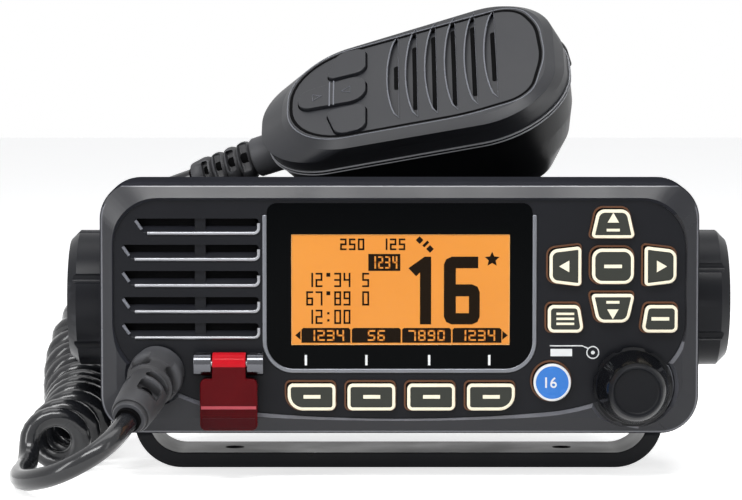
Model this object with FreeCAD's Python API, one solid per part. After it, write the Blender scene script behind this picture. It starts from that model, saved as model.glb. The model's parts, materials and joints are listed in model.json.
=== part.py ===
"""VHF marine radio on its U-bracket, with a fist microphone lying on its back on top.

Millimetres. +Z is up, +X is to the right of the front panel, and the front panel faces -Y.
The origin is the middle of the bracket's foot, on the surface that the foot rests on.
"""
import FreeCAD
import Part
import math
import os

V = FreeCAD.Vector

# ---- front case and panel ----
CASE_WIDTH = 156.4            # over the sides
CASE_BOTTOM, CASE_TOP = 12.0, 78.5
CASE_FRONT, CASE_BACK = -40.0, -19.4
CASE_CORNER = 10.0
CASE_WALL = 2.8
RIM_DRAFT = 1.2               # the front face is this much smaller on each side
PANEL_SINK = 1.4              # the panel lies this far behind the rim
PANEL_THICK = 2.0
PANEL_FACE = CASE_FRONT + PANEL_SINK
PANEL_BACK = PANEL_FACE + PANEL_THICK
PANEL_HALF, PANEL_TOP = 74.2, 73.3
SHELF_THICK = 1.2             # ledge of the case behind the panel's edge
SHELF_LAP = 1.0
LEDGE_Y = -22.7               # step inside the case that the chassis flange closes on
SEAL_THICK = 0.8

# ---- speaker ----
LOUVRE_COUNT, LOUVRE_PITCH, LOUVRE_TOP_Z = 5, 6.8, 66.6
LOUVRE_HEIGHT = 3.8
LOUVRE_LEFT, LOUVRE_RIGHT = -72.0, -36.5
RIB_LEFT, RIB_RIGHT = -53.1, -50.3
SPEAKER_AT = (-53.5, 52.8)
SPEAKER_R = 15.0

# ---- display ----
WINDOW_HALF, WINDOW_LOW, WINDOW_HIGH = 34.4, 29.5, 72.5
TRIM_WIDTH, TRIM_TOP = 1.2, 69.5
LCD_HALF, LCD_LOW, LCD_HIGH = 31.5, 32.5, 67.5

# ---- keys ----
KEY_FACE = -40.4
KEY_TRAVEL = 0.8
KEY_GAP = 0.35                # round each key, in the panel
KEY_FLANGE = 0.6              # how far the retaining flange reaches past the key
FLANGE_THICK = 0.8
MAT_FACE, MAT_THICK = -34.4, 1.0
BOARD_THICK = 1.6
SOFT_KEYS_X = (-22.8, -7.3, 8.2, 23.7)
SOFT_KEY_Z, SOFT_KEY_W, SOFT_KEY_H = 22.2, 12.4, 6.9
PAD_X = 55.2                  # middle of the key pad

# ---- volume knob ----
KNOB_AT = (60.4, 25.1)
KNOB_BASE_R, KNOB_CAP_R = 10.3, 7.2
KNOB_BACK, KNOB_FRONT = -39.9, -54.8
SHAFT_R, RUNNING_FIT = 3.0, 0.05
BUSHING_R, HOUSING_HALF = 4.2, 5.8

# ---- distress key and its cover ----
COVER_AXIS_Y, COVER_AXIS_Z = -42.2, 31.1
COVER_LEFT, COVER_RIGHT, COVER_LOW, COVER_HIGH = -51.5, -36.7, 14.0, 27.4
COVER_BACK, COVER_FACE, COVER_WALL = -40.5, -45.0, 1.5
NECK_LEFT, NECK_RIGHT = -48.4, -39.7
BARREL_R, PIN_R = 3.05, 0.8
POSTS = ((-53.2, -48.7), (-39.4, -35.2))
BUTTON_AT, BUTTON_W, BUTTON_H = (-44.1, 23.0), 9.0, 6.0

# ---- chassis ----
BODY_HALF, BODY_LOW, BODY_HIGH, BODY_BACK = 62.0, 20.0, 69.0, 60.0
BODY_WALL = 3.0
FIN_COUNT, FIN_PITCH, FIN_THICK, FIN_DEPTH, FIN_LOW = 13, 9.0, 2.2, 7.0, 40.0
SCREW_X, SCREW_LOW_Z, SCREW_HIGH_Z = 69.5, 21.0, 69.5
SCREWS_AT = [(x, z) for x in (-SCREW_X, SCREW_X) for z in (SCREW_LOW_Z, SCREW_HIGH_Z)]
ANTENNA_AT, POWER_AT, DATA_AT = (33.0, 30.0), (-36.0, 30.0), (-4.0, 30.0)

# ---- bracket and clamp knobs ----
PIVOT_Z = 45.0
BRACKET_HALF, PLATE = 71.0, 4.0
FOOT_DEPTH, ARM_DEPTH, HEAD_R = 24.0, 17.0, 13.0
FOOT_HOLE_X, FOOT_HOLE_R = 44.5, 2.5
STUD_R, BOSS_R, BOSS_FACE = 2.5, 11.0, 64.6
PAD_R, PAD_THICK = 10.0, 2.05
CLAMP_R, CLAMP_INNER, CLAMP_OUTER, LOBES = 18.3, 71.3, 90.3, 6

# ---- microphone, in its own frame: U along it, V across it, W out of its face ----
MIC_AT = V(4.9, 25.0, 104.7)  # middle of its face
MIC_PITCH, MIC_ROLL = 16.2, 34.3


def egg(left, left_half, left_corner, right, right_half, right_corner):
    """An outline that is narrow at the cord end and wide at the other."""
    return [(left, -left_half, left_corner), (right, -right_half, right_corner),
            (right, right_half, right_corner), (left, left_half, left_corner)]


MIC_FACE = egg(-37.0, 19.8, 19.7, 37.0, 27.3, 17.5)
MIC_BULGE = egg(-46.4, 21.0, 20.5, 41.3, 28.4, 22.5)
MIC_SEAM = egg(-45.0, 20.0, 19.5, 41.6, 28.0, 23.5)
MIC_MID = egg(-43.5, 18.8, 18.3, 40.4, 26.6, 22.5)
MIC_LOW = egg(-41.5, 17.0, 16.0, 37.7, 24.8, 20.0)
MIC_BACK = egg(-38.5, 15.0, 13.0, 31.8, 22.8, 13.5)
MIC_WALL = 2.3
BULGE_W, SEAM_W, STRIP = -5.2, -9.0, 1.4
BACK_W_AT_CORD, BACK_SLOPE = -21.5, 0.14
MIC_SLOTS = [(-6.4, 38.6), (-1.0, 42), (4.6, 43), (10.3, 44), (16.0, 43.5), (21.7, 41.6)]   # place, length
MIC_SLOT_V = 1.8              # the slots sit this far off the middle line
MIC_KEY_TRAVEL, MIC_KEY_RISE = 0.6, 1.0

# ---- cord: one cable, curled between two straight stretches ----
CABLE_R = 2.75
COIL_R = 10.5
FRONT_EXIT = V(-63, PANEL_FACE, 28.2)
CORD_COLLAR_R = 7.0
FRONT_ROUTE = [V(-69, -61.5, 18.5), V(-73.3, -74.5, 13.4), V(-86, -76, 7), V(-98, -66, 3.4),
               V(-97.5, -52, 3.3), V(-90, -42, 7.0), V(-87, -29, 10.8)]
COIL_ROUTE = [V(-87, -29, 10.8), V(-87.5, -7, 11), V(-88.5, 22, 13.5), V(-86, 46, 27), V(-82.5, 53, 48)]
MIC_BOOT_START, MIC_BOOT_END = V(-44.0, 0, -13.9), V(-70.3, 0, -16.5)   # in the microphone's frame
MIC_BOOT_START_R, MIC_BOOT_END_R = 6.3, 4.4


# ---- small helpers ----
def front(y):
    """Places a drawing of (x, z) points on a plane that faces the front."""
    return lambda a, b: V(a, y, b)


def side(x):
    """Places a drawing of (y, z) points on a plane that faces the side."""
    return lambda a, b: V(x, a, b)


def flat(z):
    """Places a drawing of (x, y) points on a level plane."""
    return lambda a, b: V(a, b, z)


def outline(corners, place):
    """Closed wire through corners (a, b, radius), each one rounded to its radius."""
    flat_points = [V(c[0], c[1], 0) for c in corners]
    cuts = []
    for i, corner in enumerate(corners):
        here = flat_points[i]
        back = (flat_points[i - 1] - here).normalize()
        on = (flat_points[(i + 1) % len(corners)] - here).normalize()
        half = back.getAngle(on) / 2
        reach = corner[2] / math.tan(half)
        middle = (back + on).normalize() * (corner[2] / math.sin(half) - corner[2])
        cuts.append((here + back * reach, here + middle, here + on * reach))
    edges = []
    for i, (start, middle, end) in enumerate(cuts):
        if corners[i][2] > 0:
            arc = [place(p.x, p.y) for p in (start, middle, end)]
            edges.append(Part.Arc(*arc).toShape())
        following = cuts[(i + 1) % len(cuts)][0]
        if (following - end).Length > 1e-6:
            edges.append(Part.LineSegment(place(end.x, end.y), place(following.x, following.y)).toShape())
    return Part.Wire(edges)


def slab(corners, place, along):
    """Solid plate: an outline pushed out along a vector."""
    return Part.Face(outline(corners, place)).extrude(along)


def grown(corners, by):
    """The same outline with every side moved out by a distance."""
    wide = []
    for i, (a, b, radius) in enumerate(corners):
        here = V(a, b, 0)
        back = V(corners[i - 1][0], corners[i - 1][1], 0) - here
        following = corners[(i + 1) % len(corners)]
        on = V(following[0], following[1], 0) - here
        half = back.getAngle(on) / 2
        out = (back.normalize() + on.normalize()).normalize() * (-by / math.sin(half))
        wide.append((a + out.x, b + out.y, max(0.0, radius + by) if radius else 0))
    return wide


def box_corners(a0, a1, b0, b1, radius=0):
    """Corners of a rectangle, anticlockwise."""
    return [(a0, b0, radius), (a1, b0, radius), (a1, b1, radius), (a0, b1, radius)]


def block(x0, x1, y0, y1, z0, z1):
    return Part.makeBox(x1 - x0, y1 - y0, z1 - z0, V(x0, y0, z0))


def rod(start, end, radius, end_radius=None):
    """Cylinder or cone between two points."""
    axis = end - start
    if end_radius is None or end_radius == radius:
        return Part.makeCylinder(radius, axis.Length, start, axis)
    return Part.makeCone(radius, end_radius, axis.Length, start, axis)


def along_y(at, radius, y0, y1, end_radius=None):
    return rod(V(at[0], y0, at[1]), V(at[0], y1, at[1]), radius, end_radius)


def square_y(at, half, y0, y1):
    """Square bar along Y."""
    return block(at[0] - half, at[0] + half, y0, y1, at[1] - half, at[1] + half)


def fused(shapes):
    whole = shapes[0].multiFuse(shapes[1:]) if len(shapes) > 1 else shapes[0]
    return whole.removeSplitter()


def loft(wires):
    return Part.makeLoft(wires, True, True)


def bent_tube(route, radius, name):
    """Tube along straight runs joined by the largest tangent arcs that the runs allow."""
    edges = []
    start = route[0]
    length = 0.0
    for i in range(1, len(route) - 1):
        corner = route[i]
        back = route[i - 1] - corner
        on = route[i + 1] - corner
        reach = 0.45 * min(back.Length, on.Length)
        half_turn = (math.pi - back.getAngle(on)) / 2
        bend = reach / math.tan(half_turn)
        first = corner + V(back).normalize() * reach
        last = corner + V(on).normalize() * reach
        inward = (V(back).normalize() + V(on).normalize()).normalize()
        middle = corner + inward * (bend / math.cos(half_turn) - bend)
        edges.append(Part.LineSegment(start, first).toShape())
        edges.append(Part.Arc(first, middle, last).toShape())
        print(f"{name}: bend {i} radius {bend:.1f}")
        start = last
    edges.append(Part.LineSegment(start, route[-1]).toShape())
    length = sum(edge.Length for edge in edges)
    ring = Part.Wire(Part.makeCircle(radius, route[0], route[1] - route[0]))
    tube = Part.Wire(edges).makePipeShell([ring], True, False)
    print(f"{name}: length {length:.1f}, volume over section x length "
          f"{tube.Volume / (math.pi * radius ** 2 * length):.4f}")
    return tube


PARTS = {}


def keep(name, shape):
    PARTS[name] = shape
    return shape


# ---- the panel's outline: a wide shallow arc at the bottom that runs up into the sides ----
PANEL = [(-PANEL_HALF, PANEL_TOP, 12), (-PANEL_HALF, 33.7, 16), (-54.2, 19.5, 60), (0, 14.7, 430),
         (54.2, 19.5, 60), (PANEL_HALF, 33.7, 16), (PANEL_HALF, PANEL_TOP, 12)]


def case_outline(inset, corner):
    half = CASE_WIDTH / 2 - inset
    return box_corners(-half, half, CASE_BOTTOM + inset, CASE_TOP - inset, corner)


def key_outlines():
    """Each key's outline on the panel, by node name."""
    half_w, half_h = SOFT_KEY_W / 2, SOFT_KEY_H / 2
    keys = {}
    for number, x in enumerate(SOFT_KEYS_X, 1):
        left_low = 4.0 if number == 1 else 1.4
        right_low = 4.0 if number == len(SOFT_KEYS_X) else 1.4
        keys[f"soft_key_{number}"] = [
            (x - half_w, SOFT_KEY_Z - half_h, left_low), (x + half_w, SOFT_KEY_Z - half_h, right_low),
            (x + half_w, SOFT_KEY_Z + half_h, 1.4), (x - half_w, SOFT_KEY_Z + half_h, 1.4)]
    keys["key_up"] = [(PAD_X - 5.7, 63.5, 1.0), (PAD_X + 5.7, 63.5, 1.0),
                      (PAD_X + 4.0, 70.9, 2.4), (PAD_X - 4.0, 70.9, 2.4)]
    keys["key_down"] = [(PAD_X - 4.0, 41.6, 2.4), (PAD_X + 4.0, 41.6, 2.4),
                        (PAD_X + 5.7, 49.0, 1.0), (PAD_X - 5.7, 49.0, 1.0)]
    keys["key_left"] = [(PAD_X - 16.4, 52.0, 2.2), (PAD_X - 8.2, 51.0, 1.0),
                        (PAD_X - 8.2, 61.4, 1.0), (PAD_X - 16.4, 60.4, 2.2)]
    keys["key_right"] = [(PAD_X + 8.2, 51.0, 1.0), (PAD_X + 16.4, 52.0, 2.2),
                         (PAD_X + 16.4, 60.4, 2.2), (PAD_X + 8.2, 61.4, 1.0)]
    keys["key_enter"] = box_corners(PAD_X - 5.4, PAD_X + 5.4, 51.65, 60.75, 2.6)
    keys["key_menu"] = [(PAD_X - 16.8, 39.0, 1.6), (PAD_X - 7.4, 39.0, 1.6),
                        (PAD_X - 8.6, 46.1, 1.6), (PAD_X - 16.8, 46.1, 1.6)]
    keys["key_clear"] = [(PAD_X + 7.4, 39.0, 1.6), (PAD_X + 16.8, 39.0, 1.6),
                         (PAD_X + 16.8, 46.1, 1.6), (PAD_X + 8.6, 46.1, 1.6)]
    keys["key_channel"] = box_corners(34.75, 44.45, 21.15, 30.85, 4.84)
    return keys


KEYS = key_outlines()
BUTTON = box_corners(BUTTON_AT[0] - BUTTON_W / 2, BUTTON_AT[0] + BUTTON_W / 2,
                     BUTTON_AT[1] - BUTTON_H / 2, BUTTON_AT[1] + BUTTON_H / 2, 1.2)
WINDOW = [(-WINDOW_HALF, WINDOW_LOW, 7), (WINDOW_HALF, WINDOW_LOW, 7),
          (WINDOW_HALF, WINDOW_HIGH, 2.5), (-WINDOW_HALF, WINDOW_HIGH, 2.5)]


def make_case():
    outer = loft([outline(case_outline(RIM_DRAFT, 9.0), front(CASE_FRONT)),
                  outline(case_outline(0.3, CASE_CORNER), front(CASE_FRONT + 4)),
                  outline(case_outline(0, CASE_CORNER), front(CASE_BACK))])
    shelf_back = PANEL_BACK + SHELF_THICK
    seat = slab(PANEL, front(CASE_FRONT - 1), V(0, PANEL_BACK - CASE_FRONT + 1, 0))
    opening = slab(grown(PANEL, -SHELF_LAP), front(PANEL_BACK - 1), V(0, SHELF_THICK + 2, 0))
    hollow = slab(case_outline(CASE_WALL + 2, CASE_CORNER - 4), front(shelf_back),
                  V(0, LEDGE_Y - shelf_back + 1, 0))
    mouth = slab(case_outline(CASE_WALL, CASE_CORNER - 2.8), front(LEDGE_Y), V(0, CASE_BACK - LEDGE_Y + 1, 0))
    wells = [along_y(KNOB_AT, KNOB_BASE_R + 0.8, CASE_FRONT - 1, PANEL_FACE),
             along_y((FRONT_EXIT.x, FRONT_EXIT.z), CORD_COLLAR_R + 0.3, CASE_FRONT - 1, PANEL_FACE),
             along_y(KNOB_AT, BUSHING_R, PANEL_FACE - 1, PANEL_BACK + 1),
             square_y(KNOB_AT, HOUSING_HALF + 0.3, PANEL_BACK, shelf_back + 1)]
    rooms = [slab(grown(shape, KEY_FLANGE + 0.4), front(PANEL_BACK), V(0, SHELF_THICK + 1, 0))
             for shape in (*KEYS.values(), BUTTON)]
    case = outer.cut(seat).cut(opening).cut(hollow).cut(mouth)
    case = case.cut(Part.makeCompound(wells)).cut(Part.makeCompound(rooms))
    bosses = [along_y(at, 3.2, shelf_back, LEDGE_Y) for at in SCREWS_AT]
    threads = [along_y(at, 1.5, LEDGE_Y - 9, LEDGE_Y + 0.1) for at in SCREWS_AT]
    keep("front_case", fused([case] + bosses).cut(Part.makeCompound(threads)))


def make_panel():
    panel = slab(PANEL, front(PANEL_FACE), V(0, PANEL_THICK, 0))
    through = V(0, PANEL_THICK + 4, 0)
    holes = [slab(grown(shape, KEY_GAP), front(PANEL_FACE - 2), through) for shape in KEYS.values()]
    holes.append(slab(grown(BUTTON, KEY_GAP), front(PANEL_FACE - 2), through))
    for number in range(LOUVRE_COUNT):
        z = LOUVRE_TOP_Z - number * LOUVRE_PITCH
        left = LOUVRE_LEFT + (3.3 if number == 0 else 0)
        low, high = z - LOUVRE_HEIGHT / 2, z + LOUVRE_HEIGHT / 2
        slot = [(left + 2.4, low, 0.5), (LOUVRE_RIGHT, low, 0.9), (LOUVRE_RIGHT, high, 0.9), (left, high, 0.5)]
        holes.append(slab(slot, front(PANEL_FACE - 2), through))
    holes.append(along_y(KNOB_AT, BUSHING_R, PANEL_FACE - 2, PANEL_BACK + 2))
    panel = panel.cut(Part.makeCompound(holes))
    rib_low = LOUVRE_TOP_Z - LOUVRE_COUNT * LOUVRE_PITCH + 4
    rib = block(RIB_LEFT, RIB_RIGHT, PANEL_FACE + 0.8, PANEL_BACK, rib_low, LOUVRE_TOP_Z + 3)
    trim_area = slab(grown(WINDOW, TRIM_WIDTH), front(PANEL_FACE - 2), through)
    trim_area = trim_area.cut(block(-50, 50, PANEL_FACE - 3, PANEL_BACK + 3, TRIM_TOP, 80))
    window_area = slab(WINDOW, front(PANEL_FACE - 2), through)
    keep("face_panel", fused([panel, rib]).cut(trim_area).cut(window_area))
    window = slab(WINDOW, front(PANEL_FACE - 0.3), V(0, 2.0, 0))
    keep("display_window", window)
    trim = slab(grown(WINDOW, TRIM_WIDTH), front(PANEL_FACE - 0.5), V(0, 2.2, 0))
    trim = trim.cut(block(-50, 50, PANEL_FACE - 3, PANEL_BACK + 3, TRIM_TOP, 80)).cut(window_area)
    keep("display_trim", trim)
    keep("lcd_module", block(-LCD_HALF, LCD_HALF, PANEL_BACK, MAT_FACE + 0.8, LCD_LOW, LCD_HIGH))


def make_speaker():
    mesh = slab(box_corners(-71.2, -35.9, 36.6, 70.2, 6.5), front(PANEL_BACK), V(0, 0.4, 0))
    keep("speaker_mesh", mesh)
    basket = along_y(SPEAKER_AT, SPEAKER_R, -35.8, -33.8)
    cone = along_y(SPEAKER_AT, SPEAKER_R - 1.5, -33.8, -28.5, 8.5)
    magnet = along_y(SPEAKER_AT, 9.5, -28.5, -23.5)
    dish = along_y(SPEAKER_AT, SPEAKER_R - 3, -35.9, -30, 5)
    keep("speaker_driver", fused([basket, cone, magnet]).cut(dish))


def make_key(name, shape, face):
    """Key cap with a flange that the back of the panel holds in."""
    cap = slab(shape, front(face), V(0, PANEL_BACK + 0.3 - face, 0))
    flange = slab(grown(shape, KEY_FLANGE), front(PANEL_BACK + 0.3), V(0, FLANGE_THICK, 0))
    keep(name, fused([cap, flange]))


def make_keys():
    for name, shape in KEYS.items():
        make_key(name, shape, KEY_FACE)
    make_key("distress_button", BUTTON, -41.0)
    pad = block(36.5, 71.8, MAT_FACE, MAT_FACE + MAT_THICK, 37.0, 71.8)
    strip = block(-50.5, 49.0, MAT_FACE, MAT_FACE + MAT_THICK, 18.5, 30.5)
    join = block(36.5, 49.0, MAT_FACE, MAT_FACE + MAT_THICK, 30.0, 38.0)
    corner_boss = along_y((SCREW_X, SCREW_HIGH_Z), 3.6, MAT_FACE - 1, MAT_FACE + 4)
    keep("keypad_mat", fused([pad, strip, join]).cut(corner_boss))
    board_face = MAT_FACE + MAT_THICK
    board = block(-34.0, 71.8, board_face, board_face + BOARD_THICK, 18.0, 71.8)
    wing = block(-51.5, -33.0, board_face, board_face + BOARD_THICK, 18.0, 33.0)
    low_corner = block(66.0, 75.0, MAT_FACE - 1, MAT_FACE + 4, 15.0, 25.0)
    socket = square_y(KNOB_AT, HOUSING_HALF + 0.3, board_face - 1, board_face + 3)
    keep("front_board", fused([board, wing]).cut(corner_boss).cut(low_corner).cut(socket))


def make_volume_knob():
    x, z = KNOB_AT
    housing = square_y(KNOB_AT, HOUSING_HALF, PANEL_BACK, -29.0)
    bushing = along_y(KNOB_AT, BUSHING_R, PANEL_FACE, PANEL_BACK + 0.4)
    shaft_hole = along_y(KNOB_AT, SHAFT_R + RUNNING_FIT, PANEL_FACE - 1, -30.0)
    keep("encoder_body", fused([housing, bushing]).cut(shaft_hole))
    keep("encoder_shaft", along_y(KNOB_AT, SHAFT_R, KNOB_FRONT + 3.8, -31.2))
    skirt = along_y(KNOB_AT, KNOB_BASE_R, KNOB_BACK - 2.4, KNOB_BACK)
    collar = along_y(KNOB_AT, KNOB_BASE_R - 0.9, KNOB_BACK - 3.4, KNOB_BACK - 2.4, KNOB_BASE_R)
    collar = collar.fuse(along_y(KNOB_AT, KNOB_CAP_R + 0.5, KNOB_FRONT + 1, KNOB_BACK - 3.2, KNOB_BASE_R - 1.3))
    cap = along_y(KNOB_AT, KNOB_CAP_R - 0.8, KNOB_FRONT, KNOB_FRONT + 1.01, KNOB_CAP_R + 0.5)
    grips = []
    for turn in range(12):
        angle = math.radians(30 * turn)
        reach = KNOB_BASE_R + 0.6
        at = (x + reach * math.cos(angle), z + reach * math.sin(angle))
        grips.append(along_y(at, 1.9, KNOB_FRONT - 1, KNOB_BACK - 3.4))
    knob = fused([skirt, collar, cap]).cut(Part.makeCompound(grips))
    bore = along_y(KNOB_AT, SHAFT_R + RUNNING_FIT, KNOB_FRONT + 3.6, KNOB_BACK + 1)
    keep("volume_knob", knob.cut(bore))


def make_distress_cover():
    def level(x0, x1, radius):
        return rod(V(x0, COVER_AXIS_Y, COVER_AXIS_Z), V(x1, COVER_AXIS_Y, COVER_AXIS_Z), radius)
    posts = []
    for x0, x1 in POSTS:
        foot = block(x0, x1, COVER_AXIS_Y, PANEL_FACE, COVER_AXIS_Z - 2.5, COVER_AXIS_Z + 2.5)
        posts.append(fused([level(x0, x1, BARREL_R), foot]).cut(level(x0 + 0.8, x1 - 0.8, PIN_R)))
    # each barrel is closed at its outer end and open towards the cover
    left = posts[0].cut(level(POSTS[0][1] - 1, POSTS[0][1] + 1, PIN_R))
    right = posts[1].cut(level(POSTS[1][0] - 1, POSTS[1][0] + 1, PIN_R))
    keep("cover_posts", Part.makeCompound([left, right]))
    keep("cover_pin", level(POSTS[0][0] + 0.8, POSTS[1][1] - 0.8, PIN_R))
    depth = COVER_BACK - COVER_FACE
    plate = slab(box_corners(COVER_LEFT, COVER_RIGHT, COVER_LOW, COVER_HIGH, 1.5), front(COVER_FACE), V(0, depth, 0))
    hollow = block(COVER_LEFT + COVER_WALL, COVER_RIGHT - COVER_WALL, COVER_FACE + 1.6, COVER_BACK + 1,
                   COVER_LOW + COVER_WALL, COVER_HIGH - COVER_WALL + 0.3)
    neck = block(NECK_LEFT, NECK_RIGHT, COVER_FACE, COVER_AXIS_Y, COVER_HIGH - 1, COVER_AXIS_Z)
    knuckle = level(NECK_LEFT, NECK_RIGHT, BARREL_R - 0.1)
    cover = fused([plate.cut(hollow), neck, knuckle])
    keep("distress_cover", cover.cut(level(NECK_LEFT - 1, NECK_RIGHT + 1, PIN_R + RUNNING_FIT)))


def make_chassis():
    flange_back = CASE_BACK - 0.2
    flange_face = LEDGE_Y + SEAL_THICK
    flange = slab(case_outline(CASE_WALL + 0.3, CASE_CORNER - 3.1), front(flange_face),
                  V(0, flange_back - flange_face, 0))
    tub = slab(box_corners(-BODY_HALF, BODY_HALF, BODY_LOW, BODY_HIGH, 4), front(flange_face),
               V(0, BODY_BACK - flange_face, 0))
    room = block(-BODY_HALF + BODY_WALL, BODY_HALF - BODY_WALL, flange_face - 1, BODY_BACK - BODY_WALL,
                 BODY_LOW + BODY_WALL, BODY_HIGH - BODY_WALL)
    adds = []
    for number in range(FIN_COUNT):
        x = (number - (FIN_COUNT - 1) / 2) * FIN_PITCH
        adds.append(block(x - FIN_THICK / 2, x + FIN_THICK / 2, BODY_BACK - 1, BODY_BACK + FIN_DEPTH,
                          FIN_LOW, BODY_HIGH - 1))
    whole = fused([flange, tub] + adds).cut(room)
    bosses = []
    for sign in (-1, 1):
        bosses.append(rod(V(sign * (BODY_HALF - 1), 0, PIVOT_Z), V(sign * BOSS_FACE, 0, PIVOT_Z), BOSS_R))
        bosses.append(rod(V(sign * 50, 0, PIVOT_Z), V(sign * (BODY_HALF - 1), 0, PIVOT_Z), 6))
    for x in (-50, 50):
        for y in (0, 46):
            bosses.append(rod(V(x, y, BODY_LOW + BODY_WALL - 0.5), V(x, y, 30), 3))
    whole = fused([whole] + bosses)
    for sign in (-1, 1):
        whole = whole.cut(rod(V(sign * 49, 0, PIVOT_Z), V(sign * 66, 0, PIVOT_Z), STUD_R + RUNNING_FIT))
    for at in SCREWS_AT:
        whole = whole.cut(along_y(at, 1.6, flange_face - 1, flange_back + 1))
        whole = whole.cut(along_y(at, 3.0, flange_back - 1.5, flange_back + 1))
    for at, radius in ((ANTENNA_AT, 5.0), (POWER_AT, 5.0), (DATA_AT, 4.0)):
        whole = whole.cut(along_y(at, radius, BODY_BACK - BODY_WALL - 1, BODY_BACK + 1))
    keep("chassis", whole)
    seal = slab(case_outline(CASE_WALL + 0.5, CASE_CORNER - 3.3), front(LEDGE_Y), V(0, SEAL_THICK, 0))
    seal = seal.cut(slab(case_outline(CASE_WALL + 2, CASE_CORNER - 4), front(LEDGE_Y - 1), V(0, 3, 0)))
    holes = [along_y(at, 2.0, LEDGE_Y - 1, LEDGE_Y + 2) for at in SCREWS_AT]
    keep("chassis_seal", seal.cut(Part.makeCompound(holes)))
    screws = []
    for at in SCREWS_AT:
        head = along_y(at, 2.8, flange_back - 1.5, flange_back - 0.1)
        screws.append(fused([head, along_y(at, 1.5, LEDGE_Y - 8, flange_back - 1)]))
    keep("case_screws", Part.makeCompound(screws))


def make_electronics():
    board = block(-55, 55, -10, 52, 30.0, 31.6)
    keep("main_board", board)
    module = block(-28, 28, 38, 52, 31.6, 38.0)
    can = block(-50, 40, -6, 30, 31.6, 36.0)
    keep("power_module", Part.makeCompound([module, can]))
    flange = along_y(ANTENNA_AT, 9.0, BODY_BACK, BODY_BACK + 2)
    thread = along_y(ANTENNA_AT, 7.9, BODY_BACK + 2, BODY_BACK + 14)
    inside = along_y(ANTENNA_AT, 5.0, BODY_BACK - 6, BODY_BACK + 1)
    hole = along_y(ANTENNA_AT, 5.5, BODY_BACK + 6, BODY_BACK + 15)
    keep("antenna_socket", fused([flange, thread, inside]).cut(hole))
    for name, at, radius, inner in (("power_gland", POWER_AT, 7.0, 5.0), ("data_gland", DATA_AT, 6.0, 4.0)):
        neck = along_y(at, inner, BODY_BACK - 5, BODY_BACK + 1)
        collar = along_y(at, radius, BODY_BACK, BODY_BACK + 3)
        cone = along_y(at, radius - 1, BODY_BACK + 3, BODY_BACK + 9, radius - 3)
        lead_hole = along_y(at, inner - 2.2, BODY_BACK - 6, BODY_BACK + 10)
        keep(name, fused([neck, collar, cone]).cut(lead_hole))


def make_bracket():
    top = PIVOT_Z + HEAD_R + 2
    inner = BRACKET_HALF - PLATE
    reach = FOOT_DEPTH / 2 + 2
    outer = slab([(-BRACKET_HALF, 0, 13), (BRACKET_HALF, 0, 13), (BRACKET_HALF, top, 0), (-BRACKET_HALF, top, 0)],
                 front(-reach), V(0, 2 * reach, 0))
    gap = slab([(-inner, PLATE, 9), (inner, PLATE, 9), (inner, top + 5, 0), (-inner, top + 5, 0)],
               front(-reach - 1), V(0, 2 * reach + 2, 0))
    half_foot, half_arm = FOOT_DEPTH / 2, ARM_DEPTH / 2
    profile = slab([(-half_foot, -1, 0), (half_foot, -1, 0), (half_foot, 9, 5), (half_arm, 20, 12),
                    (half_arm, PIVOT_Z, 0), (-half_arm, PIVOT_Z, 0), (-half_arm, 20, 12), (-half_foot, 9, 5)],
                   side(-BRACKET_HALF - 1), V(2 * BRACKET_HALF + 2, 0, 0))
    head = rod(V(-BRACKET_HALF - 1, 0, PIVOT_Z), V(BRACKET_HALF + 1, 0, PIVOT_Z), HEAD_R)
    bracket = outer.cut(gap).common(fused([profile, head]))
    bracket = bracket.cut(rod(V(-80, 0, PIVOT_Z), V(80, 0, PIVOT_Z), STUD_R + 0.7))
    for x in (-FOOT_HOLE_X, FOOT_HOLE_X):
        bracket = bracket.cut(rod(V(x, 0, -1), V(x, 0, PLATE + 1), FOOT_HOLE_R))
    keep("bracket", bracket)
    pads = []
    for sign in (-1, 1):
        start, end = V(sign * inner, 0, PIVOT_Z), V(sign * (inner - PAD_THICK), 0, PIVOT_Z)
        pads.append(rod(start, end, PAD_R).cut(rod(start, end, STUD_R + 0.7)))
    keep("bracket_pads", Part.makeCompound(pads))


def make_clamp(name, sign):
    """Lobed hand knob with a stud that screws into the chassis."""
    def level(x0, x1, radius, end_radius=None):
        return rod(V(sign * x0, 0, PIVOT_Z), V(sign * x1, 0, PIVOT_Z), radius, end_radius)
    hub = level(CLAMP_INNER, CLAMP_INNER + 1.2, 9.5)
    grip = level(CLAMP_INNER + 1.2, CLAMP_OUTER - 2.5, CLAMP_R)
    end = level(CLAMP_OUTER - 2.5, CLAMP_OUTER, CLAMP_R, CLAMP_R - 2.5)
    grooves = []
    for number in range(LOBES):
        angle = math.radians(360 / LOBES * (number + 0.5))
        reach = CLAMP_R + 0.7
        y, z = reach * math.cos(angle), PIVOT_Z + reach * math.sin(angle)
        grooves.append(rod(V(sign * 70, y, z), V(sign * 92, y, z), 1.6))
    knob = fused([hub, grip, end]).cut(Part.makeCompound(grooves))
    keep(f"clamp_knob_{name}", knob.cut(level(CLAMP_INNER - 1, 82, STUD_R)))
    keep(f"clamp_stud_{name}", level(51.5, 82, STUD_R))


# ---- microphone ----
def mic_placed(shape):
    """Moves a shape from the microphone's own frame to where it lies on the radio."""
    turn = FreeCAD.Rotation(V(1, 0, 0), MIC_ROLL) * FreeCAD.Rotation(V(0, 1, 0), -MIC_PITCH)
    placed = shape.copy()
    placed.Placement = FreeCAD.Placement(MIC_AT, turn).multiply(placed.Placement)
    return placed


def mic_point(u, v, w):
    turn = FreeCAD.Rotation(V(1, 0, 0), MIC_ROLL) * FreeCAD.Rotation(V(0, 1, 0), -MIC_PITCH)
    return FreeCAD.Placement(MIC_AT, turn).multVec(V(u, v, w))


def back_w(u):
    return BACK_W_AT_CORD - BACK_SLOPE * (u - MIC_BACK[0][0])


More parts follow.
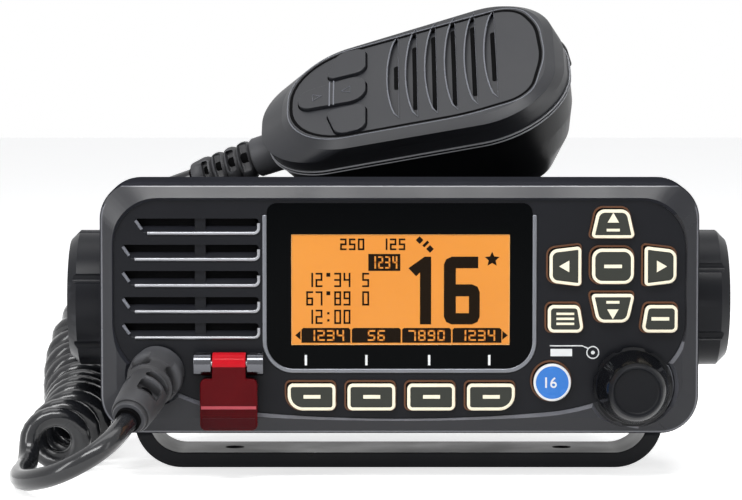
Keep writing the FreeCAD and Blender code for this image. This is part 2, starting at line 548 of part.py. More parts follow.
def back_plane(rise, share=1.0):
    """The sloping plane of the microphone's back, or one part of the way there from the seam."""
    low = SEAM_W - STRIP
    return lambda a, b: V(a, b, low + share * (back_w(a) + rise - low))


MIC_KEYS = {
    "mic_key_upper": [(-25.9, 7.2, 2), (-14.2, 7.2, 3), (-14.2, 18.8, 3), (-22.6, 18.8, 4)],
    "mic_key_lower": [(-22.6, -20.2, 4), (-14.2, -20.2, 3), (-14.2, -8.0, 3), (-25.9, -8.0, 2)],
}
MIC_ROCKER = [(-33.8, -4.4, 4.0), (-14.2, -6.4, 4.5), (-14.2, 5.8, 4.5), (-33.8, 3.8, 3.8)]
ROCKER_U, BRIM_W = -24.0, -3.9        # the rocker turns about the underside of its brim
PTT = (-14.0, 18.0, -16.8, -11.2)     # push-to-talk plate: U from and to, W from and to
PTT_BACK, PTT_THICK = 23.0, 4.8


def make_mic():
    inset = MIC_WALL
    shoulder = grown(MIC_FACE, 2.4)
    front_outer = loft([outline(MIC_SEAM, flat(SEAM_W)), outline(MIC_BULGE, flat(BULGE_W)),
                        outline(shoulder, flat(-1.8)), outline(MIC_FACE, flat(0))])
    front_inner = loft([outline(grown(MIC_SEAM, -inset), flat(SEAM_W)),
                        outline(grown(MIC_BULGE, -inset), flat(BULGE_W)),
                        outline(grown(shoulder, -inset), flat(-2.4))])
    shell = front_outer.cut(front_inner)
    cuts = [slab(grown(shape, 0.35), flat(-4), V(0, 0, 6)) for shape in (*MIC_KEYS.values(), MIC_ROCKER)]
    for u, length in MIC_SLOTS:
        low, high = MIC_SLOT_V - length / 2, MIC_SLOT_V + length / 2
        cuts.append(slab([(u + 1.6, low, 0.6), (u + 1.6, high, 0.6), (u - 1.9, high - length / 4, 5),
                          (u - 1.9, low + length / 4, 5)], flat(-4), V(0, 0, 6)))
    boot_axis = (MIC_BOOT_END - MIC_BOOT_START).normalize()
    boot_hole = rod(MIC_BOOT_START - boot_axis * 4, MIC_BOOT_START + boot_axis * 16, MIC_BOOT_START_R)
    cuts.append(boot_hole)
    keep("mic_front_shell", mic_placed(shell.cut(Part.makeCompound(cuts))))

    strip_low = SEAM_W - STRIP
    strip = slab(MIC_SEAM, flat(strip_low), V(0, 0, STRIP))
    strip = strip.cut(slab(grown(MIC_SEAM, -inset), flat(strip_low - 1), V(0, 0, STRIP + 2)))
    keep("mic_seal_strip", mic_placed(strip.cut(boot_hole)))

    rings = ((MIC_SEAM, 0), (MIC_MID, 0.35), (MIC_LOW, 0.7), (MIC_BACK, 1))
    back_outer = loft([outline(ring, back_plane(0, share)) for ring, share in rings])
    back_inner = loft([outline(grown(ring, -inset), back_plane(MIC_WALL, share)) for ring, share in rings])
    u0, u1, w0, w1 = PTT
    ptt_room = block(u0 - 0.4, u1 + 0.4, PTT_BACK - 1.8, 40, w0 - 0.4, w1)
    screws = []
    for u, v in ((-29, -8.5), (-29, 8.5), (26, -13), (26, 13)):
        screws.append(rod(V(u, v, back_w(u) - 1), V(u, v, back_w(u) + 7), 1.5))
    rear = back_outer.cut(back_inner).cut(ptt_room).cut(boot_hole).cut(Part.makeCompound(screws))
    pocket = block(u0 - 1.6, u1 + 1.6, PTT_BACK - 3.2, 33, w0 - 1.6, strip_low)
    pocket = pocket.common(back_outer).cut(ptt_room)
    keep("mic_rear_shell", mic_placed(fused([rear, pocket])))
    inside = back_outer.common(Part.makeCompound(screws))
    keep("mic_screws", mic_placed(Part.makeCompound(inside.Solids)))
    plate = slab([(u0, w0, 1.0), (u1, w0, 1.0), (u1, w1 - 0.4, 1.0), (u0, w1 - 0.4, 1.0)],
                 lambda a, b: V(a, PTT_BACK, b), V(0, PTT_THICK, 0))
    keep("mic_ptt", mic_placed(plate))

    for name, shape in (*MIC_KEYS.items(), ("mic_rocker", MIC_ROCKER)):
        cap = slab(shape, flat(-3.3), V(0, 0, 3.3 + MIC_KEY_RISE))
        brim = slab(grown(shape, 0.5), flat(BRIM_W), V(0, 0, 0.7))
        solids = [cap, brim]
        if name == "mic_rocker":        # the round ridge that it rocks on
            solids.append(rod(V(ROCKER_U, -4.5, BRIM_W), V(ROCKER_U, 4.5, BRIM_W), 1.2))
        keep(name, mic_placed(fused(solids)))
    keep("mic_board", mic_placed(slab(box_corners(-34, 30, -12, 12, 3), flat(-8.4), V(0, 0, 1.4))))
    keep("mic_capsule", mic_placed(rod(V(14, 0, -7.0), V(14, 0, -3.0), 4.9)))
    stud_u = 4.0
    stud_low = back_w(stud_u)
    stud = fused([rod(V(stud_u, 0, stud_low - 2.5), V(stud_u, 0, stud_low), 4.0),
                  rod(V(stud_u, 0, stud_low - 4.5), V(stud_u, 0, stud_low - 2.4), 7.0)])
    keep("mic_hanger_stud", mic_placed(stud.cut(back_outer)))
    collar_end = MIC_BOOT_START + boot_axis * 6
    collar = rod(MIC_BOOT_START - boot_axis * 2, collar_end, MIC_BOOT_START_R)
    cone = rod(collar_end, MIC_BOOT_END, MIC_BOOT_START_R, MIC_BOOT_END_R)
    keep("mic_boot", mic_placed(fused([collar, cone])))


def make_cord():
    """Strain relief on the front, the two straight stretches and the closed outer shape of the curls."""
    toward = (FRONT_ROUTE[1] - FRONT_ROUTE[0]).normalize()
    knee = V(FRONT_EXIT.x, FRONT_EXIT.y - 2.0, FRONT_EXIT.z)
    collar = rod(FRONT_EXIT, knee, CORD_COLLAR_R)
    ball = Part.makeSphere(6.8, knee)
    sleeve_start = FRONT_ROUTE[0] - toward * 5.0
    throat = rod(knee, sleeve_start, 6.6, 4.9)
    sleeve = rod(sleeve_start, FRONT_ROUTE[0], 4.7)
    nose = Part.makeSphere(4.8, sleeve_start)
    behind = block(-90, -40, PANEL_FACE, 0, 0, 60)
    keep("cord_boot", fused([collar, ball, throat, nose, sleeve]).cut(behind))
    keep("cord_front_run", bent_tube(FRONT_ROUTE, CABLE_R, "cord_front_run"))
    keep("cord_coil", bent_tube(COIL_ROUTE, COIL_R, "cord_coil"))
    away = (MIC_BOOT_END - MIC_BOOT_START).normalize()
    tail_route = [COIL_ROUTE[-1], V(-79.5, 51.5, 63), mic_point(*(MIC_BOOT_END + away * 14)),
                  mic_point(*(MIC_BOOT_END + away * 0.3))]
    print("cord tail", [tuple(round(c, 2) for c in p) for p in tail_route])
    keep("cord_tail", bent_tube(tail_route, CABLE_R, "cord_tail"))


make_case()
make_panel()
make_speaker()
make_keys()
make_volume_knob()
make_distress_cover()
make_chassis()
make_electronics()
make_bracket()
make_clamp("left", -1)
make_clamp("right", 1)
make_mic()
make_cord()

os.makedirs("parts", exist_ok=True)
for name, shape in PARTS.items():
    if not shape.isValid() or not shape.Solids:
        print("CHECK", name, "valid", shape.isValid(), "solids", len(shape.Solids))
    shape.exportStep(f"parts/{name}.step")
print(len(PARTS), "nodes")
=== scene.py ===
# %% [markdown]
# # A marine VHF set in Blender
#
# The set stands on a U-bracket with a hand knob on each side. Its microphone lies on its back on top,
# and a curly cord joins the two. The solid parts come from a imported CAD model, the frame. This lesson
# gives them their surfaces and adds the detail that a maker's mould, print and glue would give.
# Everything is in metres: +Z is up, +X is to the right, and the front panel faces -Y.

import json
import math

import bmesh
import bpy
from mathutils import Matrix, Vector


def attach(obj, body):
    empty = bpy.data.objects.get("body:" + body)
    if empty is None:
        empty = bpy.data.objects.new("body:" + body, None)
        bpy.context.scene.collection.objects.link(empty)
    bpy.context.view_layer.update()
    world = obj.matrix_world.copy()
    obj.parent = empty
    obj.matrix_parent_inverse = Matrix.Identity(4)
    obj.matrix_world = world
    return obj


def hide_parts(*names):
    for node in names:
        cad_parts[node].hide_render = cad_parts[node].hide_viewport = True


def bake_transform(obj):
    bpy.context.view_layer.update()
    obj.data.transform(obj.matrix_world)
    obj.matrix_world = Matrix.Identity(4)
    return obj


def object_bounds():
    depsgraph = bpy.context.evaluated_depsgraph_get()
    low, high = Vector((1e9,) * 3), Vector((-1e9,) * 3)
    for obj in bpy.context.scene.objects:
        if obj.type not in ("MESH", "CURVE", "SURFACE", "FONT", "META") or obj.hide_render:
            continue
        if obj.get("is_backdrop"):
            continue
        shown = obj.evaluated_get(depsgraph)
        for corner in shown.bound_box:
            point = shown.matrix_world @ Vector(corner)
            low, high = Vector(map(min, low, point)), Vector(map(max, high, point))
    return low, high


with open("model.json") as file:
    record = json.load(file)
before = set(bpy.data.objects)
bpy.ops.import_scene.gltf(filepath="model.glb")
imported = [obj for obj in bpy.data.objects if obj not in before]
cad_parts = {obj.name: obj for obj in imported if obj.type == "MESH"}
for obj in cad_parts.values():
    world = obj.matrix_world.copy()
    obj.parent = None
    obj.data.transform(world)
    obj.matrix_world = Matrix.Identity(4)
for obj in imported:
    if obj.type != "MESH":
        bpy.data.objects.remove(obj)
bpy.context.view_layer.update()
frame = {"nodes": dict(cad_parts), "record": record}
NODES = frame["nodes"]
MM = 0.001

# %% [markdown]
# ## The camera
#
# A product picture is taken from well back with a long lens, so that the front panel stays almost
# square. Here the lens is 0.84 m in front of the bracket, level with the microphone, and looks down by
# less than four degrees. A long lens is a large focal length over a 36 mm sensor.


# %% Camera
def in_scene(name, data):
    """A new object in the scene from a mesh, a curve, a lamp or a camera."""
    made = bpy.data.objects.new(name, data)
    bpy.context.collection.objects.link(made)
    return made


camera_data = bpy.data.cameras.new("camera")
LOOK_DOWN = 3.76
camera_data.sensor_width = 36.0
camera_data.lens = 150.4
camera_data.clip_start, camera_data.clip_end = 0.05, 50
camera = in_scene("camera", camera_data)
camera.location = (-7.4 * MM, -840 * MM, 113 * MM)
camera.rotation_euler = (math.radians(90 - LOOK_DOWN), 0, 0)
bpy.context.scene.camera = camera
bpy.context.scene.view_settings.view_transform = "Standard"
print("lens", camera_data.lens, "mm")

# %% [markdown]
# ## One helper for nodes, one for colours
#
# A material is a small graph. `add` puts one node in it, sets it up and links its inputs, so that each
# material below reads like a recipe. Colours are written the way a colour picker shows them, and
# `hexa` turns them into the linear values that light is computed with.


# %% Node and colour helpers
def hexa(code):
    """A colour such as "3A3C42" in linear values."""
    parts = [int(code[i : i + 2], 16) / 255 for i in (0, 2, 4)]
    return (*[c / 12.92 if c <= 0.04045 else ((c + 0.055) / 1.055) ** 2.4 for c in parts], 1.0)


def add(tree, kind, inputs=(), **settings):
    """Adds a node. Inputs are values, colours or other nodes' outputs, by name or number."""
    made = tree.nodes.new("ShaderNode" + kind)
    for name, value in settings.items():
        setattr(made, name, value)
    for name, value in dict(inputs).items():
        if isinstance(value, bpy.types.NodeSocket):
            tree.links.new(value, made.inputs[name])
        else:
            made.inputs[name].default_value = value
    return made


def new_material(name):
    """An empty material with its output node, and the graph to fill."""
    material = bpy.data.materials.new(name)
    material.use_nodes = True
    material.node_tree.nodes.clear()
    return material, material.node_tree


def finish_material(tree, shader):
    tree.links.new(shader.outputs[0], add(tree, "OutputMaterial").inputs["Surface"])


# %% [markdown]
# ## The floor and the light
#
# The set stands on a plain pale floor in front of a white background. The floor and the world look
# white to the camera, to reflections and through glass, while a soft grey light reaches the set. The
# floor is still lit as paper is, so that the set's shadow shows on it. Four large lamps do the rest:
# two above, of which the front one lights the sloping rim, and one on each side. They draw the long
# soft streaks that show a black plastic's shape.

# %% Rays that see white
def white_for(tree):
    """1 for rays that show the background: the camera's own, mirror rays and rays through glass."""
    rays = add(tree, "LightPath").outputs
    direct = add(tree, "Math", {0: rays["Is Camera Ray"], 1: rays["Is Glossy Ray"]}, operation="MAXIMUM")
    either = add(tree, "Math", {0: direct.outputs[0], 1: rays["Is Transmission Ray"]}, operation="MAXIMUM")
    return either.outputs[0]


# %% Floor
bpy.ops.mesh.primitive_plane_add(size=6, location=(0, 0, 0))
floor = bpy.context.object
floor.name = "floor"
floor.data.transform(floor.matrix_world)
floor.matrix_world = Matrix.Identity(4)
paper, tree = new_material("pale_floor_paper")
grain = add(tree, "TexNoise", {"Scale": 400.0})
tint = add(tree, "ValToRGB", {"Fac": grain.outputs["Fac"]})
tint.color_ramp.elements[0].color = hexa("F4F4F4")
tint.color_ramp.elements[1].color = hexa("FFFFFF")
sheet = add(tree, "BsdfPrincipled", {"Base Color": tint.outputs["Color"], "Roughness": 0.9})
lift = add(tree, "Math", {0: white_for(tree), 1: 0.72}, operation="MULTIPLY")
tree.links.new(lift.outputs[0], sheet.inputs["Emission Strength"])
sheet.inputs["Emission Color"].default_value = hexa("FFFFFF")
finish_material(tree, sheet)
floor.data.materials.append(paper)
floor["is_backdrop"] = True


# %% Lamps and world
def softbox(name, at, aim, size, power):
    """A rectangular lamp that points at a place."""
    lamp = bpy.data.lights.new(name, "AREA")
    lamp.shape = "RECTANGLE"
    lamp.size, lamp.size_y = size
    lamp.energy = power
    holder = in_scene(name, lamp)
    holder.location = at
    holder.rotation_euler = (Vector(aim) - Vector(at)).to_track_quat("-Z", "Y").to_euler()


MIDDLE = (0, 0, 0.06)
softbox("lamp_over", (0.0, 0.1, 0.95), MIDDLE, (0.9, 0.4), 2.6)
softbox("lamp_top", (-0.05, -0.66, 0.86), MIDDLE, (0.8, 0.26), 9.0)
softbox("lamp_left", (-0.85, -0.75, 0.45), MIDDLE, (0.25, 0.8), 5.6)
softbox("lamp_right", (0.95, -0.55, 0.5), MIDDLE, (0.2, 0.8), 1.1)

world = bpy.data.worlds.new("white_surround")
bpy.context.scene.world = world
world.use_nodes = True
tree = world.node_tree
tree.nodes.clear()
grey = add(tree, "Background", {"Color": hexa("E8ECF2"), "Strength": 0.15})
white = add(tree, "Background", {"Color": hexa("FFFFFF"), "Strength": 1.0})
both = add(tree, "MixShader", {0: white_for(tree), 1: grey.outputs[0], 2: white.outputs[0]})
tree.links.new(both.outputs[0], add(tree, "OutputWorld").inputs["Surface"])

# %% [markdown]
# ## Moulded plastic
#
# Nearly all of the set is injection-moulded ABS, PC or nylon. A mould is spark-eroded, so the plastic
# comes out with a fine leathery grain, and it is never quite even: gloss drifts over a few centimetres
# and handling polishes the edges. `moulded` builds that once: a fine noise for the grain, a wide noise
# that shifts colour and gloss a little, and lighter edges, which are partly that wear and partly a
# painted sheen. The real grain is 0.1 to 0.2 mm, finer than a pixel, so it is drawn at 0.3 mm or more
# to show at all.


# %% Noise in real sizes
def noise(tree, size_mm, detail):
    """Noise with patches of a real size, fixed to the piece."""
    place = add(tree, "TexCoord").outputs["Object"]
    made = add(tree, "TexNoise", {"Vector": place, "Scale": 1 / (size_mm * MM), "Detail": detail})
    return made.outputs["Fac"]


# %% Moulded plastic helper
CLOUD_MM = 17


def moulded(name, base, rough, grain_mm=0.4, relief_mm=0.02, coat=0.0, edge="", spread=0.05, shine=0.25):
    """A moulded plastic of one colour, with grain, drifting gloss and, where edge is a colour, edges that
    are lighter as wear and as a painted sheen.
    """
    material, tree = new_material(name)
    grain = noise(tree, grain_mm, 2.0)
    cloud = noise(tree, CLOUD_MM, 3.0)
    gloss = add(tree, "MapRange", {"Value": cloud, "From Min": 0.3, "From Max": 0.7,
                                   "To Min": rough - spread, "To Max": rough + spread})
    base = hexa(base)
    dark, pale = [(*[c * k for c in base[:3]], 1.0) for k in (0.88, 1.12)]
    colour = add(tree, "MixRGB", {"Fac": cloud, "Color1": dark, "Color2": pale})
    # Sharp edges are lighter: partly wear, partly a painted sheen.
    if edge:
        sharp = add(tree, "MapRange", {"Value": add(tree, "NewGeometry").outputs["Pointiness"],
                                       "From Min": 0.52, "From Max": 0.6, "To Max": 0.6})
        colour = add(tree, "MixRGB", {"Fac": sharp.outputs["Result"], "Color1": colour.outputs["Color"],
                                      "Color2": hexa(edge)})
    bump = add(tree, "Bump", {"Height": grain, "Strength": 0.5, "Distance": relief_mm * MM})
    finish_material(tree, add(tree, "BsdfPrincipled", {
        "Base Color": colour.outputs["Color"], "Roughness": gloss.outputs["Result"],
        "Normal": bump.outputs["Normal"], "Specular IOR Level": shine, "Coat Weight": coat,
        "Coat Roughness": 0.06}))
    return material


# %% Plastics of the set
CASE = moulded("abs_textured_charcoal", "1B1C21", 0.36, shine=0.33)
# A darker matt copy of the case plastic: painted shade on the walls, the top and the chamfer's top and left.
CASE_PAINTED_SHADE = moulded("abs_charcoal_painted_shade", "2B2C31", 0.7, grain_mm=0.6, shine=0.0)
# A lighter, glossier copy of the case plastic: a painted highlight on the rim's edge, the top line and the
# low chamfer.
CASE_PAINTED_HIGHLIGHT = moulded("abs_charcoal_painted_highlight", "5C5D63", 0.25, shine=0.5)
PANEL = moulded("abs_fine_satin_dark_grey", "131418", 0.34, grain_mm=0.35, relief_mm=0.012, shine=0.13)
GLOSS = moulded("pc_gloss_black", "0B0C0E", 0.14, grain_mm=2.0, relief_mm=0.002, spread=0.03, shine=0.4)
# Where an edge colour is given, sharp edges are lighter, partly wear and partly a painted sheen.
BRACKET = moulded("pa_glass_filled_black_satin", "17181C", 0.32, grain_mm=0.5, edge="2C2D31", shine=0.13)
KEYTOP = moulded("silicone_coated_keytop_green_grey", "2A2C27", 0.46, grain_mm=0.3, relief_mm=0.008)
MIC_FRONT = moulded("abs_textured_mic_grey", "222327", 0.42, shine=0.35)
# The face's plastic, darker: painted shade on the microphone's side.
MIC_PAINTED_SHADE = moulded("abs_mic_grey_painted_shade", "0E0F11", 0.5, shine=0.1)
MIC_REAR = moulded("abs_satin_mic_black", "0D0E10", 0.34, grain_mm=0.5, shine=0.15)
RUBBER = moulded("epdm_rubber_black", "353537", 0.5, grain_mm=0.6, relief_mm=0.03, edge="55565A")
STRIP = moulded("tpe_strip_light_grey", "8B8C90", 0.5, relief_mm=0.01)
BLUE = moulded("pc_key_blue", "1F6EC2", 0.28, grain_mm=0.5, relief_mm=0.004, coat=0.3)
CREAM = moulded("luminous_print_cream", "F0E7CF", 0.45, grain_mm=0.3, relief_mm=0.004)
# Amber silicone: the offset skirt paints the back light's reflection above and to the left of each key.
AMBER_PAINTED_REFLECTION = moulded("amber_silicone_painted_reflection", "5A3A25", 0.4, grain_mm=0.5, relief_mm=0.006)
RED_KEY = moulded("pc_key_red", "B4202B", 0.3, relief_mm=0.006)
BOARD = moulded("fr4_green_solder_mask", "1E5A34", 0.35, grain_mm=0.8, relief_mm=0.006)
print(len(bpy.data.materials), "materials so far")

# %% [markdown]
# ## Metals, the window and the display
#
# The housing is die-cast aluminium under black powder coat, whose orange-peel skin is about a
# millimetre across. Screws are stainless steel and the antenna socket is nickel plate over brass. The
# window is black-printed acrylic, polished flat. The display glows amber from its back light, so it
# gets a little emission as well as its own colour.


# %% Metals
def metal(name, base, rough, streak_mm):
    """Bare or plated metal: machined in fine rings or lines, so its gloss varies over small streaks."""
    material, tree = new_material(name)
    streak = noise(tree, streak_mm, 4.0)
    gloss = add(tree, "MapRange", {"Value": streak, "To Min": rough - 0.08, "To Max": rough + 0.1})
    bump = add(tree, "Bump", {"Height": streak, "Strength": 0.2, "Distance": 0.01 * MM})
    finish_material(tree, add(tree, "BsdfPrincipled", {
        "Base Color": hexa(base), "Metallic": 1.0, "Roughness": gloss.outputs["Result"],
        "Normal": bump.outputs["Normal"]}))
    return material


STEEL = metal("stainless_steel_turned", "B9BABC", 0.3, 0.6)
NICKEL = metal("nickel_plate_bright", "C9C6BD", 0.2, 1.2)
# Silver for the trim round the window: a painted highlight for the light that the window pocket's chamfer
# catches.
TRIM_PAINTED_HIGHLIGHT = metal("silver_trim_painted_highlight", "6E7075", 0.3, 1.5)
# A painted highlight for the louvres' lower lips.
LOUVRE_PAINTED_HIGHLIGHT = metal("louvre_painted_highlight_silver", "8C8D91", 0.36, 1.2)
DARK_CHROME = metal("black_chrome_plate", "5A5B5F", 0.16, 3.0)
# Its lighter edges are partly wear and partly a painted sheen.
CASTING = moulded("die_cast_aluminium_black_powder_coat", "1A1B1E", 0.48, grain_mm=1.0, relief_mm=0.05,
                  edge="3A3B3F")

# %% Window print, display and red polycarbonate
WINDOW = moulded("pmma_black_print_polished", "030405", 0.06, grain_mm=4.0, relief_mm=0.0005, spread=0.02,
                 shine=0.03)


def two_tones(tree, tones, size_mm, detail):
    """One of two colours, in soft patches of a real size."""
    return add(tree, "MixRGB", {"Fac": noise(tree, size_mm, detail), "Color1": hexa(tones[0]),
                                "Color2": hexa(tones[1])})


def lit(name, base, glow):
    """A back-lit surface: its colour, and a little of the same colour as light."""
    material, tree = new_material(name)
    colour = two_tones(tree, base, 22, 1.0)
    finish_material(tree, add(tree, "BsdfPrincipled", {
        "Base Color": colour.outputs["Color"], "Roughness": 0.3,
        "Emission Color": colour.outputs["Color"], "Emission Strength": glow}))
    return material


AMBER = lit("lcd_amber_backlight", ("C87A1C", "D08426"), 0.1)
PALE_AMBER = lit("lcd_amber_backlight_edge", ("E0A050", "E0A860"), 0.15)
INK = moulded("lcd_segment_ink", "1A120A", 0.3, grain_mm=1.0, relief_mm=0.001, shine=0.04)
KNOB_BODY = moulded("pc_satin_knob_black", "0C0D10", 0.17, grain_mm=0.5, relief_mm=0.004, shine=0.08)
KNOB_RING = moulded("abs_satin_knob_ring", "1D1E21", 0.25, grain_mm=0.5, shine=0.1)
KNOB_CAP = moulded("abs_fine_matt_knob_cap", "101114", 0.4, grain_mm=0.4, shine=0.12)
WHITE_PRINT = moulded("pad_print_white", "DADCDD", 0.5, grain_mm=0.4, relief_mm=0.002)


def clear_red(name, base, through=0.04, rough=0.12):
    """Transparent tinted polycarbonate: part of the light passes, the rest shows the colour."""
    material, tree = new_material(name)
    colour = two_tones(tree, base, 5, 2.0)
    finish_material(tree, add(tree, "BsdfPrincipled", {
        "Base Color": colour.outputs["Color"], "Roughness": rough, "IOR": 1.585,
        "Transmission Weight": through, "Specular IOR Level": 0.03}))
    return material


RED = clear_red("pc_clear_red", ("4A0208", "58040A"))
# Darker, paler and lighter copies of the same red: painted shade, highlight and light, placed by position.
RED_PAINTED_SHADE = clear_red("pc_clear_red_painted_shade", ("36050A", "42070D"))
RED_PAINTED_HIGHLIGHT = clear_red("pc_clear_red_painted_highlight", ("A8444C", "B8505A"), 0.1, 0.1)
RED_PAINTED_LIGHT = clear_red("pc_clear_red_painted_light", ("B4141E", "C41C28"))
# A grey painted highlight on louvre ends, slot rims, the microphone's face line and the rocker's raised
# marks.
GREY_PAINTED_HIGHLIGHT = moulded("abs_grey_painted_highlight", "6C6E75", 0.3, grain_mm=0.5)
# Black cloth for the speaker's mesh, and a dark fill as painted shade in the slits, the face groove, the
# sleeves and under the keys.
CLOTH_AND_PAINTED_SHADE = moulded("black_cloth_and_painted_shade", "050506", 0.8, grain_mm=0.5, shine=0.05)

# %% [markdown]
# ## The curly cord
#
# One polyurethane cable, 5.5 mm thick, leaves the panel through a rubber sleeve, makes a small open
# loop in front, curls along the left side and goes up into the microphone. The curls are a helix round
# a route. The route is a NURBS curve, which Blender draws for us: a bevel-less curve made into a mesh
# gives its points. The cable meets the first turn on the helix's left side. The first turns are
# pulled open and a little smaller, and at the far end the helix shrinks to nothing, so that the cable
# leaves it without a kink. Then one tube follows the whole line. It is a mesh.

# %% Cord materials
JACKET = moulded("pu_cord_jacket_black", "18191C", 0.26, grain_mm=0.8, relief_mm=0.01, coat=0.45)


# %% Read a smooth route
def route(name, points):
    """The points, in metres, of a smooth curve that is drawn towards these ones."""
    data = bpy.data.curves.new(name, "CURVE")
    data.dimensions = "3D"
    spline = data.splines.new("NURBS")
    spline.points.add(len(points) - 1)
    for point, place in zip(spline.points, points):
        point.co = (*[c * MM for c in place], 1.0)
    spline.order_u = 3
    spline.use_endpoint_u = True
    spline.resolution_u = 24
    holder = in_scene(name, data)
    line = bpy.data.meshes.new_from_object(holder)
    found = [v.co.copy() for v in line.vertices]
    bpy.data.objects.remove(holder)
    bpy.data.meshes.remove(line)
    return found


def evenly(points, gap):
    """The same line with points a fixed gap apart."""
    lengths = [0.0]
    for a, b in zip(points, points[1:]):
        lengths.append(lengths[-1] + (b - a).length)
    count = max(2, round(lengths[-1] / gap))
    found, i = [], 0
    for step in range(count + 1):
        at = lengths[-1] * step / count
        while i < len(points) - 2 and lengths[i + 1] < at:
            i += 1
        share = (at - lengths[i]) / max(lengths[i + 1] - lengths[i], 1e-9)
        found.append(points[i].lerp(points[i + 1], min(1.0, share)))
    return found


def long(points):
    return sum((b - a).length for a, b in zip(points, points[1:]))


# %% The three stretches
CABLE_R = 2.75 * MM
COIL_R = 10.5 * MM - CABLE_R
CURL_PITCH = 6.15 * MM
front_line = route("front_line", [(-67.8, -57.0, 19.5), (-69, -61.5, 18.5), (-73.3, -74.5, 13.4),
                                  (-84.5, -76.1, 7), (-94.5, -67, 3.9), (-97.4, -55, 3.7), (-97.4, -44, 3.6),
                                  (-97.3, -31.2, 3.9), (-97.2, -29.6, 9.2)])
coil_line = route("coil_line", [(-91, -30, 9.2), (-90, -14, 9.6), (-87.5, 2, 10.5), (-88, 20, 12.5),
                                (-90.2, 36, 20), (-89.3, 46.5, 28), (-84, 52.5, 37), (-82.5, 53, 48)])
tail_line = route("tail_line", [(-82.5, 53, 48), (-79.5, 51.5, 63), (-71.0, 47.92, 71.1),
                                (-58.28, 45.04, 75.32)])
print("routes, mm:", [round(long(p) / MM, 1) for p in (front_line, coil_line, tail_line)])


# %% Curl the middle stretch
STEPS_A_TURN = 26
OPENING = 3.5
LAST_TURN = 2.0
NARROWER = 0.2


def curled(line, radius, pitch, loose, fade):
    """A helix round a line, from the line's left side. It shrinks to the line over the last fade metres.

    Its first turns are pulled open: they are up to twice as far apart, and narrower up to loose. The
    last turn opens too, as it shrinks.
    """
    line = evenly(line, pitch / STEPS_A_TURN)
    whole, at, angle = long(line), 0.0, math.pi
    forward = (line[1] - line[0]).normalized()
    out = forward.cross(Vector((0, 0, 1))).normalized()
    found = []
    for i, here in enumerate(line):
        ahead = (line[min(i + 1, len(line) - 1)] - line[max(i - 1, 0)]).normalized()
        out = forward.rotation_difference(ahead) @ out
        forward = ahead
        step = (here - line[i - 1]).length if i else 0.0
        at += step
        share = min(1.0, (whole - at) / fade)
        grown = share * share * (3 - 2 * share)
        near_open = min(1.0, max(0.0, OPENING - OPENING * at / loose))
        open_turns = max(near_open, LAST_TURN * (1 - (whole - at) / fade))
        angle += 2 * math.pi * step / (pitch * (1 + open_turns))
        grown *= 1 - NARROWER * max(0.0, 1 - at / loose)
        across = forward.cross(out)
        found.append(here + (out * math.cos(angle) + across * math.sin(angle)) * radius * grown)
    return found


curls = curled(coil_line, COIL_R, CURL_PITCH, 42 * MM, 14 * MM)
cable = evenly(front_line[:-1] + curls + tail_line[1:], 1.9 * MM)
print("cable", round(long(cable), 3), "m in", len(cable), "points")

# %% [markdown]
# A poly curve with a round bevel is a tube whose rings sit on its own points. Converting it gives the
# mesh.

# %% Tube
data = bpy.data.curves.new("cord_cable", "CURVE")
data.dimensions = "3D"
spline = data.splines.new("POLY")
spline.points.add(len(cable) - 1)
for point, place in zip(spline.points, cable):
    point.co = (*place, 1.0)
data.bevel_depth = CABLE_R
data.bevel_resolution = 3
data.use_fill_caps = True
cord = in_scene("cord_cable", data)
bpy.ops.object.select_all(action="DESELECT")
cord.select_set(True)
bpy.context.view_layer.objects.active = cord
bpy.ops.object.convert(target="MESH")
bpy.ops.object.shade_smooth()
cord.data.materials.clear()
cord.data.materials.append(JACKET)
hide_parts("cord_front_run", "cord_coil", "cord_tail")
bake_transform(cord)
print("cord faces", len(cord.data.polygons))

# %% [markdown]
# ## Working on one piece at a time
#
# Every piece below is made with the same few steps: make it the active object, select some of its
# faces or edges by where they lie, and use an edit-mode tool on them. `fresh` starts a piece from a
# copy of a CAD solid, `take` selects, `soften` rounds, and `done` gives the piece its finish and its
# body. Sizes and places are in millimetres.


# %% Modelling helpers
def only(obj):
    """Makes obj the one object that tools work on."""
    if bpy.context.mode != "OBJECT":
        bpy.ops.object.mode_set(mode="OBJECT")
    bpy.ops.object.select_all(action="DESELECT")
    obj.select_set(True)
    bpy.context.view_layer.objects.active = obj


def edit(obj):
    only(obj)
    bpy.ops.object.mode_set(mode="EDIT")
    bpy.ops.mesh.select_all(action="SELECT")


def leave():
    """Leaves edit mode, so that the mesh takes its changes."""
    bpy.ops.object.mode_set(mode="OBJECT")


def outwards():
    """Turns every face outwards and leaves edit mode."""
    bpy.ops.mesh.select_all(action="SELECT")
    bpy.ops.mesh.normals_make_consistent(inside=False)
    leave()


def inset(width):
    bpy.ops.mesh.inset(thickness=width * MM, depth=0.0)


def slide(x, y, z):
    bpy.ops.transform.translate(value=(x * MM, y * MM, z * MM))


def pull(x, y, z):
    bpy.ops.mesh.extrude_region_move(TRANSFORM_OT_translate={"value": (x * MM, y * MM, z * MM)})


def take(obj, kind, test, sharp=0):
    """In edit mode, selects the faces, edges or verts whose points, in mm, all pass a test.

    Where sharp is an angle, an edge has to be sharper than that.
    """
    bpy.ops.mesh.select_all(action="DESELECT")
    bpy.ops.mesh.select_mode(type=kind)
    mesh = bmesh.from_edit_mesh(obj.data)
    for item in {"FACE": mesh.faces, "EDGE": mesh.edges, "VERT": mesh.verts}[kind]:
        points = [item.co / MM] if kind == "VERT" else [v.co / MM for v in item.verts]
        if sharp and item.calc_face_angle(0) < math.radians(sharp):
            continue
        if all(test(p) for p in points):
            item.select_set(True)
    bmesh.update_edit_mesh(obj.data)


